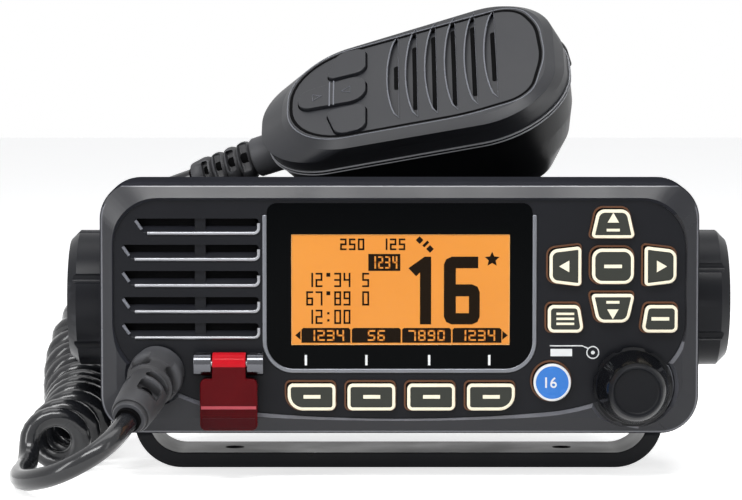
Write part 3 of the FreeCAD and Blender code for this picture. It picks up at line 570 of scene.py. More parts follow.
def modify(obj, kind, **settings):
    """Adds a modifier and applies it."""
    only(obj)
    added = obj.modifiers.new(kind.lower(), kind)
    for name, value in settings.items():
        setattr(added, name, value)
    bpy.ops.object.modifier_apply(modifier=added.name)


def clean(obj):
    """Joins a CAD mesh's doubled points and merges its flat triangles into whole faces."""
    edit(obj)
    bpy.ops.mesh.customdata_custom_splitnormals_clear()
    bpy.ops.mesh.remove_doubles(threshold=0.004 * MM)
    bpy.ops.mesh.dissolve_limited(angle_limit=math.radians(0.4))
    bpy.ops.mesh.normals_make_consistent(inside=False)
    leave()


def fresh(node, name=""):
    """A new piece that starts as a copy of a CAD solid."""
    made = in_scene(name or node + "_skin", NODES[node].data.copy())
    clean(made)
    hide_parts(node)
    return made


def smooth(obj, limit=35, even=True):
    """Smooth shading up to an angle. Even keeps large faces flat where they meet a small round."""
    only(obj)
    bpy.ops.object.shade_smooth_by_angle(angle=math.radians(limit))
    if even:
        modify(obj, "WEIGHTED_NORMAL", keep_sharp=True)


def soften(obj, width, segments=3, angle=30, limit=35):
    """Rounds every edge that is sharper than an angle."""
    modify(obj, "BEVEL", width=width * MM, segments=segments, limit_method="ANGLE",
           angle_limit=math.radians(angle), use_clamp_overlap=True)
    smooth(obj, limit)


def settle(obj, name):
    """Names a new primitive and puts its place and turn into its mesh."""
    obj.name = name
    obj.data.transform(obj.matrix_world)
    obj.matrix_world = Matrix.Identity(4)
    return obj


def block(name, low, high):
    """A box between two corners."""
    middle = [(a + b) / 2 * MM for a, b in zip(low, high)]
    bpy.ops.mesh.primitive_cube_add(size=1, location=middle, scale=[(b - a) * MM for a, b in zip(low, high)])
    bpy.context.view_layer.update()
    return settle(bpy.context.object, name)


def rod(name, start, end, radius, tip=None, sides=48):
    """A cylinder or cone between two points."""
    start, end = Vector(start), Vector(end)
    bpy.ops.mesh.primitive_cone_add(
        vertices=sides, radius1=radius * MM, radius2=(radius if tip is None else tip) * MM,
        depth=(end - start).length * MM, location=(start + end) / 2 * MM,
        rotation=(end - start).to_track_quat("Z", "Y").to_euler())
    bpy.context.view_layer.update()
    return settle(bpy.context.object, name)


def turned(name, start, axis, profile):
    """A turned solid: (distance along the axis, radius) pairs, spun round the axis."""
    mesh = bpy.data.meshes.new(name)
    links = [(i, i + 1) for i in range(len(profile) - 1)]
    mesh.from_pydata([(r * MM, 0, t * MM) for t, r in profile], links, [])
    made = in_scene(name, mesh)
    edit(made)
    bpy.ops.mesh.spin(steps=64, angle=2 * math.pi, center=(0, 0, 0), axis=(0, 0, 1))
    bpy.ops.mesh.select_all(action="SELECT")
    bpy.ops.mesh.remove_doubles(threshold=0.002 * MM)
    outwards()
    turn = Vector(axis).to_track_quat("Z", "Y").to_matrix().to_4x4()
    mesh.transform(Matrix.Translation(Vector(start) * MM) @ turn)
    smooth(made, 40)
    return made


def bead(name, points, radius, closed=False, fineness=2):
    """A round bead along a line of points: a bevelled curve made into a mesh."""
    data = bpy.data.curves.new(name, "CURVE")
    data.dimensions = "3D"
    spline = data.splines.new("POLY")
    spline.points.add(len(points) - 1)
    for point, place in zip(spline.points, points):
        point.co = (*[c * MM for c in place], 1.0)
    spline.use_cyclic_u = closed
    data.bevel_depth, data.bevel_resolution, data.use_fill_caps = radius * MM, fineness, True
    made = in_scene(name, data)
    only(made)
    bpy.ops.object.convert(target="MESH")
    smooth(made, 50)
    return made


def extruded(name, corners, way):
    """A solid from a flat outline of corners, pulled a way."""
    mesh = bpy.data.meshes.new(name)
    mesh.from_pydata([[c * MM for c in corner] for corner in corners], [], [range(len(corners))])
    made = in_scene(name, mesh)
    edit(made)
    pull(*way)
    outwards()
    return made


def joined(name, pieces):
    """One object out of several."""
    only(pieces[0])
    for piece in pieces:
        piece.select_set(True)
    bpy.ops.object.join()
    pieces[0].name = name
    return pieces[0]


def carve(obj, cutters, operation="DIFFERENCE"):
    """Cuts other solids out of a piece, and clears them away."""
    cutter = joined("cutter", cutters)
    modify(obj, "BOOLEAN", operation=operation, object=cutter, solver="EXACT")
    bpy.data.objects.remove(cutter)


def assign(obj, place):
    """In edit mode, gives the selected faces one of the piece's finishes, by its place in the list."""
    obj.active_material_index = place
    bpy.ops.object.material_slot_assign()


def paint(obj, material, test):
    """Gives the faces whose points pass a test another finish."""
    obj.data.materials.append(material)
    edit(obj)
    take(obj, "FACE", test)
    assign(obj, len(obj.data.materials) - 1)
    leave()


def paint_each(obj, materials, choose):
    """Gives single faces another finish.

    Choose is told a face's middle, in mm, and its normal, and returns one of the materials or None.
    """
    first = len(obj.data.materials)
    for material in materials:
        obj.data.materials.append(material)
    for face in obj.data.polygons:
        chosen = choose(face.center / MM, face.normal)
        if chosen:
            face.material_index = first + materials.index(chosen)


def done(obj, material, body):
    """Gives a piece its finish and its body."""
    if material:
        obj.data.materials.clear()
        obj.data.materials.append(material)
    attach(obj, body)
    print(f"{obj.name}: {len(obj.data.polygons)} faces")


# %% [markdown]
# ## The case
#
# The rim is not flat: it falls back towards the outside, so its top catches the light and its sides
# fall into shade. A simple solid whose front has that slope all round is kept only where it meets the
# case. The edge down to the panel is a chamfer, which shows as a fine line round the panel. A darker
# matt copy of the case plastic paints shade on the walls behind the rim, on the top and on the
# chamfer's top and left faces. A lighter copy paints a highlight on the rim's outer edge, on a thin
# line along the top and on the chamfer's low faces.

# %% Case sizes
FRONT_Y = -40.0
RIM_LOW, RIM_HIGH, RIM_HALF = 13.2, 76.9, 77.0
RIM_WIDE, RIM_FALL, CORNER = 3.6, 1.9, 9.0
OUTER_Y = FRONT_Y + RIM_FALL
WALL_CHAMFER = 0.9
# A thin band at this height along the top carries a painted highlight.
TOP_HIGHLIGHT_Z, TOP_HIGHLIGHT_HIGH = 76.7, 0.25


# %% The slope
def sloped_block():
    """A block that is larger than the case all round, and slopes in to the rim's inner edge at the front."""
    out = 1.9
    back_y = FRONT_Y + RIM_FALL * (RIM_WIDE + out) / RIM_WIDE
    made = block("rim_form", (-RIM_HALF - out, back_y, RIM_LOW - out), (RIM_HALF + out, -15, RIM_HIGH + out))
    edit(made)
    take(made, "EDGE", lambda p: True)
    mesh = bmesh.from_edit_mesh(made.data)
    for side in mesh.edges:
        ends = [v.co.y for v in side.verts]
        side.select_set(max(ends) - min(ends) > 5 * MM)
    bmesh.update_edit_mesh(made.data)
    bpy.ops.mesh.bevel(offset=(CORNER + out) * MM, segments=12)
    take(made, "FACE", lambda p: p.y < back_y + 0.1)
    pull(0, FRONT_Y - back_y, 0)
    high = (RIM_HIGH - RIM_LOW) / 2
    shrink = [(half - RIM_WIDE) / (half + out) for half in (RIM_HALF, high)]
    bpy.ops.transform.resize(value=(shrink[0], 1, shrink[1]),
                             center_override=(0, FRONT_Y * MM, (RIM_LOW + RIM_HIGH) / 2 * MM))
    leave()
    return made


# %% Case rim
def on_outline(p):
    """True for points on the case's outer edge, and not round the panel."""
    return abs(p.x) > 68 or p.z < 14.5 or p.z > 75


case = fresh("front_case", "case_shell")
edit(case)
take(case, "EDGE", lambda p: abs(p.y - FRONT_Y) < 0.05 and abs(p.x) < 74.6 and 14 < p.z < 74, sharp=50)
bpy.ops.mesh.bevel(offset=WALL_CHAMFER * MM, segments=1)
leave()
carve(case, [sloped_block()], "INTERSECT")
clean(case)
edit(case)
take(case, "EDGE", lambda p: abs(p.y - OUTER_Y) < 0.5 and (abs(p.x) > 69 or p.z < 14.5 or p.z > 75),
     sharp=25)
bpy.ops.mesh.bevel(offset=0.5 * MM, segments=3)
smooth(case, 25)
edit(case)
for z in (TOP_HIGHLIGHT_Z, TOP_HIGHLIGHT_Z + TOP_HIGHLIGHT_HIGH):
    bpy.ops.mesh.select_all(action="SELECT")
    bpy.ops.mesh.bisect(plane_co=(0, 0, z * MM), plane_no=(0, 0, 1))
leave()
done(case, CASE, "radio")

# %% Case finishes
PAINTED_SHADE_Z, PAINTED_SHADE_X, PAINTED_LIGHT_Z = 70, -60, 36
# Painted shade on the walls behind the rim and on the top face. Painted highlight on the rim's outer edge and
# a thin line along the top.
paint(case, CASE_PAINTED_SHADE, lambda p: p.y > OUTER_Y - 0.05)
paint(case, CASE_PAINTED_HIGHLIGHT, lambda p: abs(p.y - OUTER_Y) < 0.7 and on_outline(p))
paint(case, CASE_PAINTED_HIGHLIGHT, lambda p: -0.01 < p.z - TOP_HIGHLIGHT_Z < TOP_HIGHLIGHT_HIGH + 0.01 and p.y < OUTER_Y + 0.7)
paint(case, CASE_PAINTED_SHADE, lambda p: p.z > TOP_HIGHLIGHT_Z + TOP_HIGHLIGHT_HIGH - 0.01)


def chamfer_painted_light(middle, normal):
    """The chamfer's faces are the ones at the front that lean by about 45 degrees. Those at the top and on
    the left get painted shade, and those low down a painted highlight.
    """
    if middle.y < FRONT_Y + WALL_CHAMFER and -0.8 < normal.y < -0.6:
        if middle.z > PAINTED_SHADE_Z or middle.x < PAINTED_SHADE_X:
            return CASE_PAINTED_SHADE
        if middle.z < PAINTED_LIGHT_Z:
            return CASE_PAINTED_HIGHLIGHT


paint_each(case, [CASE_PAINTED_HIGHLIGHT, CASE_PAINTED_SHADE], chamfer_painted_light)
print("case finishes", len(case.data.materials))

# %% [markdown]
# ## The panel and its louvres
#
# Each louvre is a slot with a slanted sill, a rib behind the opening and a bead along its lower lip
# and round its right end, silver as a painted highlight, with a short grey bead of painted highlight
# at its left end. The sill takes the case's lighter plastic as painted light. The panel's edges are
# barely rounded.

# %% Panel
LOUVRES, PITCH, LOUVRE_TOP, LOUVRE_HIGH = 5, 6.8, 66.6, 3.8
LOUVRE_LEFT, LOUVRE_RIGHT, BEND = -72.0, -36.5, 1.3
PANEL_Y = -38.6
panel = fresh("face_panel", "panel_skin")
soften(panel, 0.25, segments=2)
done(panel, PANEL, "radio")


# %% Louvre sills and beads
def louvre(row):
    """The sill and the beads of one louvre. The beads' colours are painted highlights, and the sill's
    lighter plastic is painted light.
    """
    middle = LOUVRE_TOP - row * PITCH
    low, high = middle - LOUVRE_HIGH / 2, middle + LOUVRE_HIGH / 2
    left = LOUVRE_LEFT + (3.3 if row == 0 else 0)
    sill = block(f"louvre_sill_{row + 1}", (left + 1.2, PANEL_Y + 0.15, low - 0.2),
                 (LOUVRE_RIGHT, PANEL_Y + 1.95, low + 1.8))
    edit(sill)
    take(sill, "VERT", lambda p: p.y < PANEL_Y + 1 and p.z > low + 1)
    slide(0, 0, -1.5)
    # The sill takes the case's lighter plastic as painted light, where the louvre above leaves it in shade.
    done(sill, CASE, "radio")
    y = PANEL_Y - 0.1
    turn = [(LOUVRE_RIGHT - BEND + BEND * math.sin(a), y, low + BEND - BEND * math.cos(a))
            for a in [math.radians(15 * step) for step in range(7)]]
    line = [(left + 3.4, y, low)] + turn + [(LOUVRE_RIGHT, y, high - 1.2)]
    # The bead's silver is a painted highlight on the lower lip.
    lip = bead(f"louvre_highlight_bead_{row + 1}", line, 0.5)
    done(lip, LOUVRE_PAINTED_HIGHLIGHT, "radio")
    # The grey end bead is a painted highlight.
    end = bead(f"louvre_end_highlight_{row + 1}", [(left + 0.3, y, high - 0.5), (left + 1.9, y, low + 1.0)], 0.42)
    done(end, GREY_PAINTED_HIGHLIGHT, "radio")


for row in range(LOUVRES):
    louvre(row)

# %% [markdown]
# ## The display
#
# The window is printed black on its back, with a clear field in the middle. Behind the field glows the
# amber liquid-crystal glass. Its segments are ink: plain numbers in seven bars each, as on a watch,
# one large channel number, and four black boxes over the soft keys with clear numbers in them.

# %% Window, glass and trim
GLASS_LOW, GLASS_HIGH = Vector((-28.1, -38.5, 35.6)), Vector((28.6, -37.2, 64.4))
window = fresh("display_window", "window_mask")
carve(window, [block("field", (GLASS_LOW.x, -41, GLASS_LOW.z), (GLASS_HIGH.x, -35, GLASS_HIGH.z))])
soften(window, 0.15, segments=2)
done(window, WINDOW, "radio")
glass = block("lcd_glass", GLASS_LOW, GLASS_HIGH)
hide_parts("lcd_module")
done(glass, AMBER, "radio")
trim = fresh("display_trim", "window_trim")
soften(trim, 0.35, segments=3)
# The trim's silver is a painted highlight.
done(trim, TRIM_PAINTED_HIGHLIGHT, "radio")


# %% Prints: bars, triangles and numbers
PRINT = 0.06
ON_GLASS, ON_INK = GLASS_LOW.y, GLASS_LOW.y - PRINT


def bar(x, z, wide, high, y):
    """A flat printed bar with its middle at (x, z) on the plane y."""
    return block("bar", (x - wide / 2, y - PRINT, z - high / 2), (x + wide / 2, y, z + high / 2))


def triangle(x, z, size, y, way):
    """A printed triangle that points up, down, left or right."""
    turn = {"up": 0, "left": 90, "down": 180, "right": 270}[way]
    made = rod("triangle", (x, y, z), (x, y - PRINT, z), size, sides=3)
    tip = max(made.data.vertices, key=lambda v: v.co.z).co / MM
    lean = math.degrees(math.atan2(-(tip.x - x), tip.z - z))
    middle = Vector((x, y, z)) * MM
    made.data.transform(Matrix.Translation(middle) @ Matrix.Rotation(math.radians(lean - turn), 4, "Y")
                        @ Matrix.Translation(-middle))
    return made


def number(words, x, z, high, y, bold):
    """Plain characters as a thin solid, with their lower left corner at (x, z)."""
    data = bpy.data.curves.new("number", "FONT")
    data.body = words
    data.size, data.offset, data.extrude = 1.0, bold, 0.03
    made = in_scene("number", data)
    only(made)
    bpy.ops.object.convert(target="MESH")
    points = [v.co for v in made.data.vertices]
    low = Vector([min(p[i] for p in points) for i in range(3)])
    scale = high * MM / (max(p.y for p in points) - low.y)
    upright = Matrix.Rotation(math.radians(90), 4, "X")
    made.data.transform(Matrix.Translation((x * MM, y * MM, z * MM)) @ upright
                        @ Matrix.Diagonal((scale, scale, MM, 1)) @ Matrix.Translation(-low))
    return made


def plate(outline):
    """A flat printed shape on the glass, from (x, z) corners."""
    return extruded("plate", [(x, ON_GLASS, z) for x, z in outline], (0, -PRINT, 0))


LIT_BARS = {"0": "abcdef", "1": "bc", "2": "abged", "3": "abgcd", "4": "fgbc", "5": "afgcd", "6": "afgedc",
            "7": "abc", "8": "abcdefg", "9": "abcdfg", "*": "*", ":": ":", " ": ""}


def numerals(words, x, z, high, step, y, line=0.45):
    """Seven-bar numerals from a lower left corner. A star is a degree mark."""
    wide = step - 1.4 * line
    made = []
    for place, sign in enumerate(words):
        left = x + place * step
        across = [(left + wide / 2, wide), (left + line / 2, line), (left + wide - line / 2, line)]
        half = high / 2 + line / 2
        spots = {"a": (0, high - line / 2, line), "g": (0, high / 2, line), "d": (0, line / 2, line),
                 "f": (1, high - half / 2, half), "e": (1, half / 2, half), "b": (2, high - half / 2, half),
                 "c": (2, half / 2, half)}
        for name in LIT_BARS[sign]:
            if name in spots:
                column, middle, tall = spots[name]
                made.append(bar(across[column][0], z + middle, across[column][1], tall, y))
        if sign == "*":
            made.append(bar(left + wide / 2, z + high - 0.5, 1.0, 1.0, y))
        if sign == ":":
            made += [bar(left + wide / 2, z + high * share, 0.6, 0.6, y) for share in (0.25, 0.75)]
    return made


# %% Segments on the glass
ONE = [(5.3, 41.0), (8.2, 41.0), (8.2, 58.6), (6.5, 58.6), (2.3, 55.6), (4.3, 53.5), (5.3, 54.5)]
SIX = [(20.4, 58.6), (13.5, 58.6), (12.1, 57.9), (11.5, 56.6), (11.5, 43.0), (12.1, 41.6), (13.5, 41.0),
       (18.8, 41.0), (20.2, 41.6), (20.8, 43.0), (20.8, 49.4), (20.2, 50.8), (18.8, 51.4), (14.6, 51.4),
       (14.6, 55.6), (20.4, 55.6)]
six = plate(SIX)
carve(six, [block("field", (14.6, -40, 43.9), (18.0, -36, 48.3))])
star = [(24.0 + size * math.sin(math.radians(36 * turn)), 57.9 + size * math.cos(math.radians(36 * turn)))
        for turn, size in enumerate((2.0, 0.95) * 5)]
ink = [plate(ONE), six, plate(star)]
for row, words in enumerate(("12*34 5", "67*89 0", "12:00")):
    ink += numerals(words, -24.2, 50.7 - 4.8 * row, 3.7, 2.42, ON_GLASS)
ink += numerals("250", -15.4, 60.3, 3.0, 2.3, ON_GLASS) + numerals("125", -4.8, 60.3, 3.0, 2.3, ON_GLASS)
ink.append(block("flag", (-8.1, ON_INK, 54.9), (0.2, ON_GLASS, 59.3)))
for x, z in ((5.2, 62.9), (7.9, 60.6)):
    ink.append(plate([(x - 1.0, z), (x, z + 1.0), (x + 1.0, z), (x, z - 1.0)]))
ink.append(plate([(5.9, 61.5), (7.2, 62.8), (7.7, 62.3), (6.4, 61.0)]))
LABELS = [-19.1 + 13.07 * label for label in range(4)]
for x in LABELS:
    ink.append(plate([(x - 6.35, 36.2), (x + 6.35, 36.2), (x + 6.35, 39.6), (x + 5.9, 40.05),
                      (x - 5.9, 40.05), (x - 6.35, 39.6)]))
for base, tip in ((-25.7, -27.1), (26.7, 28.1)):
    ink.append(plate([(base, 39.3), (base, 37.0), (tip, 38.15)]))
done(joined("lcd_segments", ink), INK, "radio")
clear = numerals("1234", -7.4, 55.5, 3.2, 1.85, ON_INK, line=0.4)
for x, words in zip(LABELS, ("1234", "56", "7890", "1234")):
    clear += numerals(words, x - 1.25 * len(words) + 0.3, 36.7, 2.8, 2.5, ON_INK, line=0.42)
done(joined("lcd_clear_marks", clear), AMBER, "radio")
left, right = GLASS_LOW.x + 0.12, GLASS_HIGH.x - 0.12
low, high = GLASS_LOW.z + 0.12, GLASS_HIGH.z - 0.12
corners = [(x, ON_GLASS, z) for x, z in ((left, low), (right, low), (right, high), (left, high))]
done(bead("lcd_field_edge", corners, 0.14, closed=True), PALE_AMBER, "radio")

# %% Ticks over the soft keys
ticks = [bar(x, 31.7, 0.6, 2.7, -38.9) for x in (-24.3, -8.6, 7.7, 23.3)]
done(joined("window_ticks", ticks), WHITE_PRINT, "radio")

# %% [markdown]
# ## The keys
#
# A key is a dark rubber-coated top inside a luminous cream ring, over an amber silicone skirt that is
# moved up and to the left, so that it shows only there as a painted reflection of the back light in
# the key's pocket. The skirt's dark inside is painted shade. The ring is an inset of the top face, so
# it follows every key's outline.
# Keys carry plain marks only: arrows, dashes and a number.

# %% Key caps
KEY_Y = -40.4
LAND, LIP = 0.22, 0.2
RING_HIGH, TOP_SUNK = 0.16, 0.14


def start_key(node, name):
    """In edit mode, a copy of a key with its front face in one piece."""
    made = fresh(node, name)
    edit(made)
    bpy.ops.mesh.remove_doubles(threshold=0.06 * MM)
    return made


def front_face(obj, y):
    take(obj, "FACE", lambda p: abs(p.y - y) < 0.06)


def key_cap(node, ring_colour, ring, top):
    """A cap with a raised ring inside a narrow land, round a top that lies a little lower."""
    cap = start_key(node, node + "_cap")
    cap.data.materials.clear()
    for material in (ring_colour, top):
        cap.data.materials.append(material)
    assign(cap, 0)
    front_face(cap, KEY_Y)
    inset(LAND)
    slide(0, -RING_HIGH, 0)
    inset(ring - LAND)
    assign(cap, 1)
    inset(LIP)
    slide(0, TOP_SUNK, 0)
    leave()
    smooth(cap, 40)
    done(cap, None, node)
    return cap


# %% Key skirts
SKIRT_Y = PANEL_Y - 0.55
SKIRT_MORE, REFLECTION_SHIFT, SKIRT_DEEP = 1.1, 0.3, 0.9


def key_skirt(node, cap):
    """A skirt with the cap's outline, a little larger, moved up and to the left as a painted reflection
    of the back light, and dark inside as painted shade.
    """
    xs, zs = [[v.co[i] / MM for v in cap.data.vertices if abs(v.co.y / MM - KEY_Y) < 0.06] for i in (0, 2)]
    wide, high = max(xs) - min(xs), max(zs) - min(zs)
    middle = ((max(xs) + min(xs)) / 2 * MM, KEY_Y * MM, (max(zs) + min(zs)) / 2 * MM)
    skirt = start_key(node, node + "_skirt")
    front_face(skirt, KEY_Y)
    bpy.ops.mesh.select_all(action="INVERT")
    bpy.ops.mesh.delete(type="FACE")
    bpy.ops.mesh.select_all(action="SELECT")
    bpy.ops.transform.resize(value=((wide + SKIRT_MORE) / wide, 1, (high + SKIRT_MORE) / high),
                             center_override=middle)
    slide(-REFLECTION_SHIFT, SKIRT_Y - KEY_Y, REFLECTION_SHIFT)
    pull(0, SKIRT_DEEP, 0)
    outwards()
    soften(skirt, 0.22, segments=2)
    done(skirt, AMBER_PAINTED_REFLECTION, "radio")
    # The skirt's dark inside is painted shade.
    skirt.data.materials.append(CLOTH_AND_PAINTED_SHADE)
    edit(skirt)
    front_face(skirt, SKIRT_Y)
    inset(0.25)
    assign(skirt, 1)
    leave()


def key(node, marks, ring_colour=CREAM, ring=0.78, top=KEYTOP):
    """A key cap with its ring, its skirt and its marks."""
    key_skirt(node, key_cap(node, ring_colour, ring, top))
    done(joined(node + "_marks", marks), ring_colour, node)


# %% Keys and their marks
MARK_Y = KEY_Y - 0.03
PAD_X, PAD_Z = 55.2, 56.2


def dash(x, z, wide=4.6, high=0.9):
    return bar(x, z, wide, high, MARK_Y)


def arrow(x, z, size, way):
    return triangle(x, z, size, MARK_Y, way)


for place, x in enumerate((-22.8, -7.3, 8.2, 23.7)):
    key(f"soft_key_{place + 1}", [dash(x + 0.1, 22.3, 4.4, 0.95)])
key("key_up", [arrow(PAD_X, 68.4, 1.7, "up"), dash(PAD_X, 65.6, 3.4, 0.7)])
key("key_down", [arrow(PAD_X, 44.2, 1.7, "down"), dash(PAD_X, 46.9, 3.4, 0.7)])
key("key_left", [arrow(PAD_X - 12.2, PAD_Z, 1.75, "left")])
key("key_right", [arrow(PAD_X + 12.2, PAD_Z, 1.75, "right")])
key("key_enter", [dash(PAD_X, PAD_Z)])
key("key_menu", [dash(PAD_X - 12.3, 42.6 + step, high=0.6) for step in (-1.3, 0, 1.3)])
key("key_clear", [dash(PAD_X + 12.3, 42.6)])
key("key_channel", [number("16", 37.75, 24.6, 2.8, MARK_Y, 0.01)], WHITE_PRINT, 0.6, BLUE)

# %% [markdown]
# ## The volume knob
#
# A gloss black knob on a round skirt. Its side tapers to a satin ring round a dull cap, and eight
# shallow flutes break the skirt's edge into short bright strips.

# %% Volume knob
KNOB_X, KNOB_Z = 60.4, 25.1
FLUTES, FLUTE_OUT = 8, 11.6
RING_Y, CAP_Y, CAP_R = -53.99, -53.8, 5.75
profile = [(0, 0), (0, 9.8), (0.4, 10.3), (2.6, 10.3), (3.3, 9.7), (3.6, 9.4), (4.3, 9.3), (12.2, 7.8),
           (13.6, 7.2), (14.6, 6.7), (14.9, 6.4), (14.9, 6.1), (14.2, 5.7), (14.0, 5.2), (14.0, 0)]
knob = turned("volume_knob_gloss", (KNOB_X, -39.9, KNOB_Z), (0, -1, 0), profile)
flutes = []
for step in range(FLUTES):
    angle = math.radians(22.5 + 360 / FLUTES * step)
    x, z = KNOB_X + FLUTE_OUT * math.cos(angle), KNOB_Z + FLUTE_OUT * math.sin(angle)
    flutes.append(rod("flute", (x, -38, z), (x, -46, z), 1.9, sides=24))
carve(knob, flutes)
smooth(knob, 30)
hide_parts("volume_knob")
done(knob, KNOB_BODY, "volume_knob")


def knob_finish(middle, normal):
    """The ring round the knob's front, and the cap inside it."""
    if middle.y < CAP_Y and math.hypot(middle.x - KNOB_X, middle.z - KNOB_Z) < CAP_R:
        return KNOB_CAP
    if middle.y < RING_Y:
        return KNOB_RING


paint_each(knob, [KNOB_RING, KNOB_CAP], knob_finish)

# %% Leader from the knob's marks to its place
y = PANEL_Y - 0.02
leader = bead("leader", [(39.0, y, 35.4), (47.4, y, 35.4), (49.0, y, 34.7)], 0.16)
EYE_X, EYE_Z, EYE_R = 50.2, 33.65, 1.55
turns = [math.pi * step / 12 for step in range(24)]
ring = [(EYE_X + EYE_R * math.cos(a), y, EYE_Z + EYE_R * math.sin(a)) for a in turns]
eye = [bead("eye", ring, 0.16, closed=True),
       rod("dot", (EYE_X, y, EYE_Z), (EYE_X, y - PRINT, EYE_Z), 0.5, sides=24)]
done(joined("knob_leader", [leader, *eye, bar(42.0, EYE_Z, 5.6, 1.9, y)]), WHITE_PRINT, "radio")

# %% [markdown]
# ## The strain reliefs
#
# Both ends of the cord leave through a rubber sleeve that is cut into rings, so that it bends without
# a kink. The front one has a round root, a band, and a sleeve with windows. The one on the
# microphone swells between its rings behind a plain collar, and each swelling has a window.


# %% Slotted sleeve on the front
def slots_across(root, axis, places):
    """Cutters for windows round a sleeve. Places are (distance, width, height, core, angle)."""
    axis = Vector(axis).normalized()
    turn = axis.to_track_quat("Z", "Y").to_matrix().to_4x4()
    cutters = []
    for distance, wide, high, core, angle in places:
        made = block("window", (core, -high / 2, distance - wide / 2), (9, high / 2, distance + wide / 2))
        soften(made, 0.6)
        made.data.transform(Matrix.Translation(Vector(root) * MM) @ turn
                            @ Matrix.Rotation(math.radians(angle), 4, "Z"))
        cutters.append(made)
    return cutters


ROOT, SLEEVE_END = Vector((-63, -40.6, 28.2)), Vector((-69, -61.5, 18.5))
along = SLEEVE_END - ROOT
profile = [(-3.2, 6.6), (0.0, 7.2), (3.2, 6.9), (3.6, 6.4), (6.0, 6.2), (6.6, 5.6), (9.2, 5.7), (10.4, 5.9),
           (17.0, 5.5), (20.6, 5.2), (21.2, 4.9), (21.2, 4.5), (21.9, 4.5), (22.6, 4.2), (22.6, 3.0),
           (0.0, 3.0), (-3.2, 6.6)]
front_boot = turned("cord_boot_sleeve", ROOT, along, profile)
carve(front_boot, slots_across(ROOT, along, [
    (4.2, 2.6, 8.0, 4.0, 5), (4.2, 2.2, 6.0, 4.0, 112), (4.2, 2.2, 8.0, 4.0, -120), (9.0, 2.2, 7.5, 2.8, 38),
    (10.6, 1.8, 3.6, 2.8, 135), (9.0, 2.2, 7.5, 2.8, -70), (14.0, 4.2, 6.4, 2.8, 48),
    (14.0, 4.2, 6.4, 2.8, -130)]))
edit(front_boot)
bpy.ops.mesh.bisect(plane_co=(0, PANEL_Y * MM, 0), plane_no=(0, 1, 0), clear_outer=True, use_fill=True)
leave()
smooth(front_boot, 40)
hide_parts("cord_boot")
done(front_boot, RUBBER, "radio")
# The dark core shows through the sleeve's windows as painted shade.
done(rod("cord_boot_core", ROOT, SLEEVE_END, 3.3), CLOTH_AND_PAINTED_SHADE, "radio")


# %% Frame of the microphone
MIC_AT = Vector((4.9, 25.0, 104.7))
MIC_TURN = Matrix.Rotation(math.radians(34.3), 4, "X") @ Matrix.Rotation(math.radians(-16.2), 4, "Y")
MIC_PLACE = Matrix.Translation(MIC_AT * MM) @ MIC_TURN
MIC_HOME = MIC_PLACE.inverted()


def mic(u, v, w):
    """A point given along, across and out of the microphone's face, in the set's millimetres."""
    return MIC_PLACE @ (Vector((u, v, w)) * MM) / MM


def in_mic(p):
    """The other way round."""
    return MIC_HOME @ (p * MM) / MM


# %% Sleeve on the microphone
boot_start, boot_end = mic(-44.0, 0, -13.9), mic(-70.3, 0, -16.5)
profile = [(-2, 0), (-2, 5.7), (6.6, 5.6), (7.1, 5.3), (7.4, 4.4)]
for start, size in ((7.6, 5.55), (11.6, 5.25), (15.6, 4.95)):
    profile += [(start + 0.5, size - 0.35), (start + 1.4, size), (start + 2.4, size),
                (start + 3.4, size - 0.35), (start + 3.9, size - 1.1)]
profile += [(19.9, 4.4), (20.6, 4.7), (21.6, 4.8), (25.2, 4.2), (25.8, 3.9), (26.1, 2.7), (26.1, 0)]
mic_boot = turned("mic_boot_sleeve", boot_start, boot_end - boot_start, profile)
carve(mic_boot, slots_across(boot_start, boot_end - boot_start,
                             [(distance, wide, high, 2.8, angle) for distance, wide, high in
                              ((9.4, 2.7, 8.8), (13.4, 2.4, 6.4), (17.4, 2.2, 7.4), (21.3, 1.8, 4.8))
                              for angle in (18, 198)]))
smooth(mic_boot, 40)
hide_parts("mic_boot")
done(mic_boot, RUBBER, "microphone")
# The dark core shows through the sleeve's windows as painted shade.
done(rod("mic_boot_core", boot_start, boot_end, 3.3, tip=3.0), CLOTH_AND_PAINTED_SHADE, "microphone")

# %% [markdown]
# ## The microphone
#
# The face carries six crescent slots for the capsule, each with a fine raised rim, grey as a painted
# highlight, and a black slit of painted shade in its sunken floor. A fine double line follows the
# face's edge: a dark bead of painted shade and a grey one of painted highlight. The side below it is
# one smooth curve down to the grey strip, and a darker copy of the face's plastic paints shade on it.


# %% Outlines on the microphone
def rounded(corners, fineness):
    """Points round a closed outline of (u, v, radius) corners, as the CAD source draws it."""
    points = []
    for i, (u, v, radius) in enumerate(corners):
        here = Vector((u, v))
        back = (Vector(corners[i - 1][:2]) - here).normalized()
        on = (Vector(corners[(i + 1) % len(corners)][:2]) - here).normalized()
        half = back.angle(on) / 2
        middle = here + (back + on).normalized() * radius / math.sin(half)
        start = here + back * radius / math.tan(half) - middle
        end = here + on * radius / math.tan(half) - middle
        for step in range(fineness + 1):
            turned_by = start.angle_signed(end) * -step / fineness
            points.append(middle + Matrix.Rotation(turned_by, 2) @ start)
    return points


def egg(left, left_half, left_corner, right, right_half, right_corner):
    return [(left, -left_half, left_corner), (right, -right_half, right_corner),
            (right, right_half, right_corner), (left, left_half, left_corner)]


SLOT_V, SLOT_WIDE, SLOT_BOW = 1.8, 3.2, 3.4


def crescent(u, length):
    """A slot with a straight edge to the right and a bowed one to the left."""
    edge, low, high = u + SLOT_WIDE / 2, SLOT_V - length / 2, SLOT_V + length / 2
    bowed = [(edge - SLOT_BOW * math.sin(math.pi * step / 16) ** 0.55, high - length * step / 16)
             for step in range(1, 16)]
    return [(edge, low), (edge, high)] + bowed


